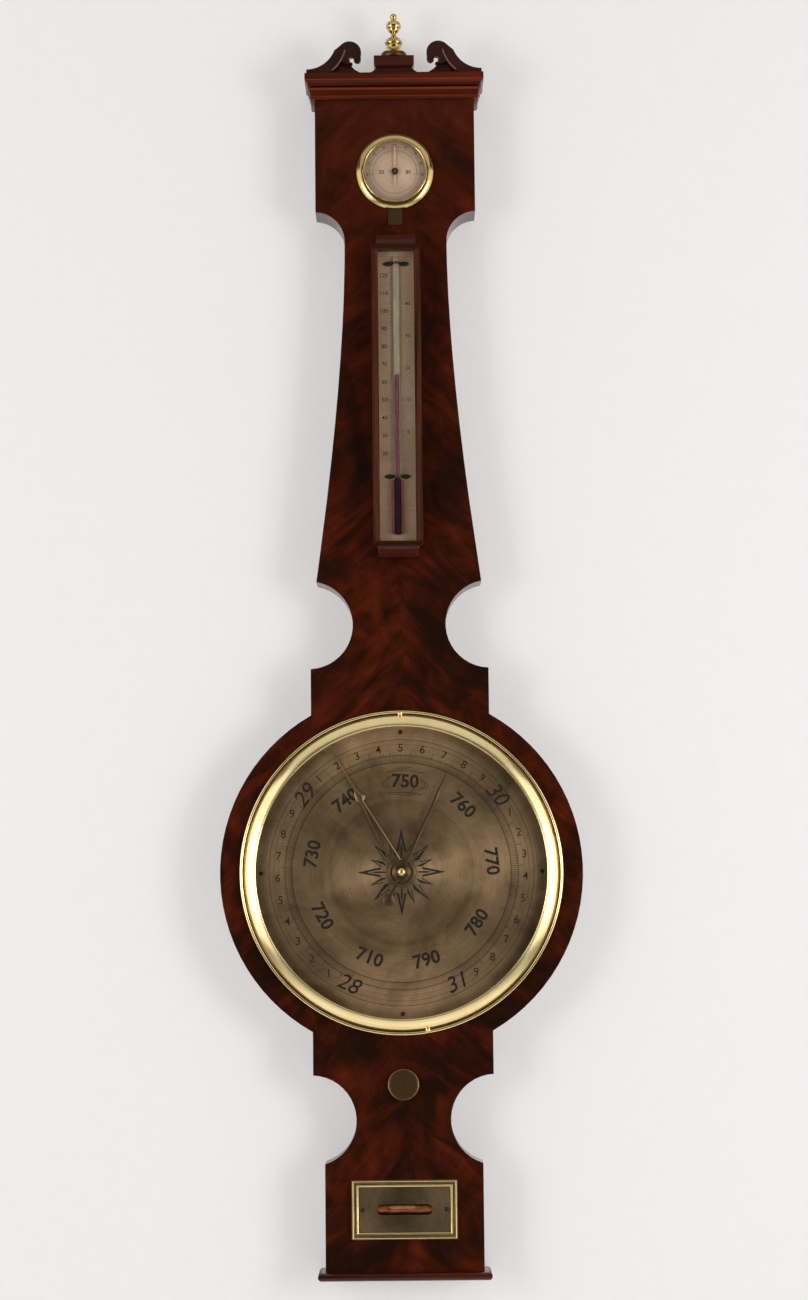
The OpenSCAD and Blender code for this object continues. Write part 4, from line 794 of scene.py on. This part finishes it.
HINGE_HEIGHTS = (-120, 150, 400)
HINGE_SCREW = ((0, 2.2), (1.5, 2.2), (1.5, 1.66), (1.2, 1.5), (0, 1.42))
for body, x in (("case", -39.2), ("door", -24.4)):
    hinge_screws = bmesh.new()
    # The slots are dark bars laid on the heads: painted shade in the slots.
    hinge_slot_shades = bmesh.new()
    for height in HINGE_HEIGHTS:
        for up in (-8, 8):
            turned(hinge_screws, HINGE_SCREW, x, height + up, 20)
            bar(hinge_slot_shades, x, height + up, 1.5, (2.6, 0.3, 0.34), 0.4 + up)
    piece("hinge_screw_heads_" + body, hinge_screws, aged_brass, body, "aged_brass")
    piece("hinge_screw_slot_shades_" + body, hinge_slot_shades, wax, body, "aged_brass")

# Glasses and tubes

DOME_BEND, DOME_TOP, DOME_REACH, DOME_THICK = 865.6, 46.4, 124.5, 2
dome_radii = [DOME_REACH * i / 20 for i in range(21)]


def dome_depth(r, bend):
    return DOME_TOP - DOME_BEND + math.sqrt(bend * bend - r * r)


dome = bmesh.new()
turned(dome, [(r, dome_depth(r, DOME_BEND)) for r in dome_radii]
       + [(r, dome_depth(r, DOME_BEND - DOME_THICK)) for r in reversed(dome_radii)], 0, 0, 128)
piece("main_glass_piece", dome, pane, "case", "clear_glass", "main_glass")

STEM_DEPTH, SPIRIT_DEPTH, CHANNEL_DEPTH = 43.7, 43.9, 40.56
stem = bmesh.new()
upright(stem, [(0, 284.5), (2.2, 284.6), (3.0, 285.4), (3.25, 286.6), (3.25, 331.6), (3.0, 333),
               (2.7, 334.4), (2.7, 526.5), (2.2, 527.6), (0, 528)], 0, STEM_DEPTH, 32)
piece("thermometer_tube_piece", stem, stem_glass, "thermometer", "clear_glass", "thermometer_tube")


def flat_strip(name, half, low, high, depth, finish, slot):
    """An upright strip in or behind the thermometer tube, with round ends."""
    strip = bmesh.new()
    bar(strip, 0, (low + high) / 2, depth, (2 * half, 0.3, high - low))
    corners = [e for e in strip.edges if abs(e.verts[0].co.y - e.verts[1].co.y) > 1e-5]
    round_edges(strip, corners, 0.35 * half, 4)
    piece(name, strip, finish, "thermometer", slot)


flat_strip("thermometer_enamel", 2.5, 334, 526, 42.8, enamel, "clear_glass")
flat_strip("thermometer_channel", 3.4, 334, 527, CHANNEL_DEPTH, enamel, "silvered_brass")
# A red strip on the scale round the bulb: painted reflection of the spirit.
flat_strip("thermometer_bulb_reflection", 5.6, 286.5, 333.4, CHANNEL_DEPTH, bulb_reflection, "red_spirit")
column = bmesh.new()
upright(column, [(0, 332), (1.75, 332), (1.75, 422.9), (1.2, 423.9), (0, 424.1)], 0, SPIRIT_DEPTH, 24)
piece("thermometer_column", column, red_spirit, "thermometer", "red_spirit", "thermometer_spirit")
bulb = bmesh.new()
upright(bulb, [(0, 285.4), (2.0, 285.7), (3.1, 287.2), (3.1, 331.6), (2.5, 333.6), (1.9, 334.4),
               (0, 334.6)], 0, SPIRIT_DEPTH, 28)
piece("thermometer_bulb", bulb, bulb_spirit, "thermometer", "red_spirit", "thermometer_spirit")

vial = bmesh.new()
lying(vial, [(-29, 0), (-28.6, 3.2), (-27.4, 4.3), (-26, 4.5), (26, 4.5), (27.4, 4.3), (28.6, 3.2),
             (29, 0)], 0, LEVEL, 28.9, 32)
piece("level_vial_piece", vial, tube_glass, "case", "clear_glass", "level_vial")
eased("level_spirit", 0, amber_spirit, "amber_spirit", corner=50)
bubble = bmesh.new()
lying(bubble, [(-11, 0), (-10.7, 0.9), (-9.6, 1.5), (-8, 1.7), (8, 1.7), (9.6, 1.5), (10.7, 0.9), (11, 0)],
      -2, LEVEL + 1.5, 31.2, 24)
piece("level_bubble", bubble, bubble_amber, "case", "amber_spirit")

# Siphon tube with its mercury, and the lines inside the case

TUBE_DEPTH, LONG_X, SHORT_X, BEND = 10.75, 20.1, 7.1, -207.5
TUBE_RADIUS, MERCURY_RADIUS = 4.0, 3.06
elbow = [spot(x, height, TUBE_DEPTH) for x, height in arc(13.6, BEND, 6.5, 0, -180, 20)]


def limb(x, *heights):
    return [spot(x, height, TUBE_DEPTH) for height in heights]


tube_along("siphon_tube_piece", limb(LONG_X, 640) + elbow + limb(SHORT_X, -72), TUBE_RADIUS, tube_glass,
           "case", "clear_glass", "siphon_tube")
long_mercury = tube_along("mercury_long_limb", limb(LONG_X, 617, 560, 500, 400, 200, 0, -200) + elbow,
                          MERCURY_RADIUS, quicksilver, None, "mercury", "mercury")
short_mercury = tube_along("mercury_short_limb", limb(SHORT_X, -207.4, -195, -180, -165, -150, -138),
                           MERCURY_RADIUS, quicksilver, None, "mercury", "mercury")
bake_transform(long_mercury)
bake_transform(short_mercury)

WEIGHT_DEPTH = 13.75


def hang_thread(node, x, depth, length):
    """A thread from the float pulley down to what hangs on it."""
    line = [spot(x, -length + length * i / 12, depth) for i in range(13)]
    thread = tube_along(node + "_piece", line, 0.3, silk, None, "cord", node, sides=3)
    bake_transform(thread)


hang_thread("float_thread", SHORT_X, TUBE_DEPTH, 117.8)
hang_thread("counter_thread", -SHORT_X, WEIGHT_DEPTH, 70)
GUT_RADIUS, GUT_DEPTH = 13.5, 19.3
gut_path = arc(0, 0, GUT_RADIUS, 0, 180, 20) + arc(0, KNOB, GUT_RADIUS, 180, 360, 20)
tube_along("gut_line_piece", [spot(x, height, GUT_DEPTH) for x, height in gut_path], 0.5, silk,
           "case", "cord", "gut_line", loop=True, sides=3)
weight = bmesh.new()
upright(weight, [(0, -88), (2.2, -88), (2.6, -87.5), (2.6, -71), (1.6, -70.2), (0, -70)], -SHORT_X,
        WEIGHT_DEPTH, 28)
piece("counterweight_piece", weight, brass, "weight", "brass", "counterweight")
float_glass = bmesh.new()
upright(float_glass, [(0, -137.8), (2.0, -137.6), (2.6, -136.6), (2.6, -119.4), (1.8, -118.2), (0, -117.8)],
        SHORT_X, TUBE_DEPTH, 28)
piece("float_weight_piece", float_glass, tube_glass, "float", "clear_glass", "float_weight")

# Solids that keep their own shape

finish_of_solid = {
    "main_dial": dial_silver, "hygrometer_dial": hygrometer_silver, "thermometer_scale": scale_silver,
    "level_plate": level_silver, "thermometer_back": mahogany, "thermometer_glass": pane,
    "hygrometer_glass": pane, "hanging_screws": aged_brass, "arbor_bridge": brass, "case_bushes": brass,
    "counter_guide": tube_glass, "hygrometer_cup": aged_brass, "hinge_pins": blued_steel,
    "thermometer_studs": brass, "index_arbor": blued_steel, "float_pulley": brass, "set_pipe": brass,
    "knob_arbor": brass, "oat_beard": straw, "thermometer_clips": bronzed_steel,
}
for name, finish in finish_of_solid.items():
    for holder in nodes[name].material_slots:
        holder.material = finish

# Marks on the main dial: inches outside, millimetres inside, plain figures only

SCALE_START, SCALE_SWEEP = -154, 308
INCHES = (28, 29, 30, 31)
TENTHS = 30
MM_PER_INCH = 25.4
FIGURE_RADIUS = 76.5


def pressure_angle(millimetres):
    return (millimetres / MM_PER_INCH - 29.5) * SCALE_SWEEP / 3


dial_marks = bmesh.new()
for radius, width in ((112, 0.4), (108, 0.26), (98.6, 0.42), (92.7, 0.46), (12.4, 0.4)):
    draw_ring(dial_marks, radius, width)
for i in range(301):
    angle = SCALE_START + i * SCALE_SWEEP / 300
    draw_tick(dial_marks, angle, 92.7, 103 if i % 10 == 5 else 98.6, 0.34 if i % 5 == 0 else 0.24)
for i, inch in enumerate(INCHES):
    angle = SCALE_START + i * SCALE_SWEEP / 3
    turn = angle + 180 if abs(angle) > 100 else angle
    draw_number(dial_marks, str(inch), 19, *round_point(104.0, angle), turn, 0.05, 0.22)
for i in range(TENTHS):
    if i % 10:
        angle = SCALE_START + i * SCALE_SWEEP / TENTHS
        turn = max(-55, min(55, angle)) if abs(angle) < 60 else 0
        draw_number(dial_marks, str(i % 10), 9.6, *round_point(104.8, angle), turn, 0.03)
for pressure in range(710, 800, 10):
    angle = pressure_angle(pressure)
    turn = angle + 180 if abs(angle) > 110 else angle
    draw_number(dial_marks, str(pressure), 15.5, *round_point(FIGURE_RADIUS, angle), turn, 0.40)

# Small arcs round the middle figure
middle = pressure_angle(750)
for radius, reach, width in ((85.6, 11, 0.5), (87.2, 7, 0.4), (88.6, 3.6, 0.35),
                             (67.4, 12, 0.5), (65.8, 8, 0.4), (64.4, 4, 0.35)):
    draw_arc(dial_marks, radius, width, middle - reach, middle + reach)
for side in (-1, 1):
    for step in range(3):
        x, y = round_point(FIGURE_RADIUS, middle + side * (9.5 + 2.4 * step))
        facing = 90 * side + middle
        draw_arc(dial_marks, 6.5 - step, 0.5, facing - 55, facing + 55, 16, x - side * 4.5, y)

# A star of sixteen points, the four main ones open
STAR_FOOT, STAR_WAIST = 13.2, 17.5
STAR_POINTS = ((37.5, 4.2), (29, 2.3), (33.5, 3.1), (29, 2.3))
for i in range(16):
    tip, half = STAR_POINTS[i % 4]
    shapes = [[(0.2, STAR_FOOT), (half, STAR_WAIST), (0, tip)],
              [(-half, STAR_WAIST), (-half + 0.8, STAR_WAIST), (0, tip - 4), (0, tip)]]
    if i % 4 == 0:
        shapes = [[(half - 1.9, STAR_WAIST), (half, STAR_WAIST), (0, tip), (0, tip - 8)],
                  [(-half, STAR_WAIST), (1.9 - half, STAR_WAIST), (0, tip - 8), (0, tip)],
                  [(-0.5, STAR_FOOT), (0.5, STAR_FOOT), (0.9, STAR_WAIST + 3), (0, tip - 10),
                   (-0.9, STAR_WAIST + 3)]]
    cos, sin = math.cos(math.radians(-i * 22.5)), math.sin(math.radians(-i * 22.5))
    for shape in shapes:
        draw_shape(dial_marks, [(x * cos - y * sin, x * sin + y * cos) for x, y in shape])
lay("dial_marks", dial_marks, 0, DIAL_FRONT - 0.01, "case", "blued_steel")

# Marks on the hygrometer

HUMIDITY_START = -96
hygrometer_marks = bmesh.new()
draw_ring(hygrometer_marks, 18.6, 0.16, 120)
draw_arc(hygrometer_marks, 21.9, 0.16, -98, 98, 64)
for i in range(41):
    outer, width = (21.9, 0.2) if i % 5 == 0 else (20.2, 0.13)
    draw_tick(hygrometer_marks, HUMIDITY_START + i * 4.8, 18.6, outer, width)
for i in range(9):
    angle = HUMIDITY_START + i * 24
    draw_number(hygrometer_marks, str(10 + 10 * i), 2.7, *round_point(23.8, angle), angle, 0.02)
for figures, x in (("20", -11.5), ("80", 11.5)):
    draw_number(hygrometer_marks, figures, 4.6, x, -0.3, 0, 0.05)
lay("hygrometer_marks", hygrometer_marks, HYGROMETER, HYGROMETER_FRONT, "humidity_scale", "blued_steel",
    0.04)

# Marks on the thermometer: Fahrenheit at the left, Celsius at the right

TWENTY_DEGREES, TEN_DEGREES = 356, 15.5
thermometer_marks = bmesh.new()
for i in range(61):
    draw_bar(thermometer_marks, -5.6 if i % 5 else -6.4, -3.4, TWENTY_DEGREES + i * 3.1 - TEN_DEGREES, 0.18)
for i in range(11):
    draw_number(thermometer_marks, str(20 + 10 * i), 4.9, -10.6, TWENTY_DEGREES + TEN_DEGREES * i, 0, 0.03)
for warm in range(0, 50, 10):
    y = TWENTY_DEGREES + (warm * 1.8 + 12) * TEN_DEGREES / 10
    draw_number(thermometer_marks, str(warm), 4.4, 9.6, y, 0, 0.02)
    draw_bar(thermometer_marks, 3.6, 6.2, y, 0.2)
lay("thermometer_marks", thermometer_marks, 0, SCALE_FRONT, "thermometer", "blued_steel", 0.05)


# Wall, floor, light and camera

def stage_finish(name, colour):
    finish, tree, shader = new_finish(name)
    plaster = clouds(tree, place(tree), 90, 3)
    shade = tuple(v * 0.985 for v in colour)
    join(tree, ramp(tree, plaster, (0.35, shade), (0.65, colour)), shader.inputs["Base Color"])
    shader.inputs["Roughness"].default_value = 0.9
    return finish, tree, shader


def stage_plane(name, corners, finish):
    bm = bmesh.new()
    bm.faces.new([bm.verts.new(c) for c in corners])
    obj = put(name, mesh_of(name, bm, finish))
    return obj


# The wall glows a little to keep its shadows soft, and shows from the front only
wall_paint, wall_tree, wall_shader = stage_finish("wall_paint", (0.50, 0.491, 0.489))
wall_shader.inputs["Emission Color"].default_value = (1.0, 0.982, 0.978, 1)
wall_shader.inputs["Emission Strength"].default_value = 0.343
behind = add(wall_tree, "ShaderNodeNewGeometry")
gone = add(wall_tree, "ShaderNodeBsdfTransparent")
one_sided = add(wall_tree, "ShaderNodeMixShader")
join(wall_tree, behind.outputs["Backfacing"], one_sided.inputs[0])
join(wall_tree, wall_shader.outputs[0], one_sided.inputs[1])
join(wall_tree, gone.outputs[0], one_sided.inputs[2])
join(wall_tree, one_sided.outputs[0], wall_tree.nodes["Material Output"].inputs["Surface"])
REACH, FLOOR, CEILING, WALL_BACK = 3, -2, 1.6, 0.003
wall = stage_plane("wall", [(-REACH, WALL_BACK, FLOOR), (REACH, WALL_BACK, FLOOR),
                            (REACH, WALL_BACK, CEILING), (-REACH, WALL_BACK, CEILING)], wall_paint)
wall.visible_shadow = False
floor_paint = stage_finish("floor_paint", (0.80, 0.79, 0.78))[0]
stage_plane("floor", [(-REACH, -REACH, FLOOR), (REACH, -REACH, FLOOR), (REACH, REACH, FLOOR),
                      (-REACH, REACH, FLOOR)], floor_paint)


def soft_light(name, place_at, aim, width, height, power, tint):
    lamp = bpy.data.lights.new(name, "AREA")
    lamp.shape = "RECTANGLE"
    lamp.size = width
    lamp.size_y = height
    lamp.energy = power
    lamp.color = tint
    obj = put(name, lamp)
    obj.location = place_at
    obj.rotation_euler = (Vector(aim) - Vector(place_at)).to_track_quat("-Z", "Y").to_euler()


BOX_TINT = (1.0, 0.99, 0.98)
PANEL_TINT = (1.0, 0.99, 0.985)
soft_light("right_softbox", (1.65, -1.45, -0.62), (0, 0, -0.6), 0.7, 0.9, 17, BOX_TINT)
soft_light("left_softbox", (-1.65, -1.55, -0.62), (0, 0, -0.6), 0.7, 0.9, 12, BOX_TINT)
soft_light("right_panel", (1.5, -1.0, -0.45), (0, -0.4, -0.5), 1.9, 1.9, 14, PANEL_TINT)
soft_light("left_panel", (-1.5, -1.0, -0.45), (0, -0.4, -0.5), 1.9, 1.9, 14, PANEL_TINT)
soft_light("top_panel", (0, -0.95, 0.95), (0, -0.2, -0.4), 3.2, 1.5, 10, PANEL_TINT)
soft_light("low_panel", (0, -0.95, -1.9), (0, -0.2, -0.7), 3.0, 1.5, 3.6, PANEL_TINT)
soft_light("back_softbox", (0.6, 2.2, 0.6), (0, 0, -0.4), 1.6, 1.6, 45, (1.0, 1.0, 1.0))

sky = bpy.data.worlds.new("studio")
sky.use_nodes = True
backdrop = sky.node_tree.nodes["Background"]
backdrop.inputs["Color"].default_value = (0.93, 0.92, 0.91, 1)
backdrop.inputs["Strength"].default_value = 0.07
bpy.context.scene.world = sky
bpy.context.scene.view_settings.view_transform = "Standard"

CAMERA_AT = (0.0039, -2.334, -0.7196)
CAMERA_TILT, CAMERA_ROLL = math.radians(95.85), math.radians(-0.553)
lens = bpy.data.cameras.new("photo_camera")
lens.lens = 75.35
lens.sensor_width = 36
lens.clip_start = 0.01
camera = put("photo_camera", lens)
camera.matrix_world = Matrix.Translation(CAMERA_AT) @ Matrix.Rotation(CAMERA_TILT, 4, "X") \
    @ Matrix.Rotation(CAMERA_ROLL, 4, "Z")
bpy.context.scene.camera = camera
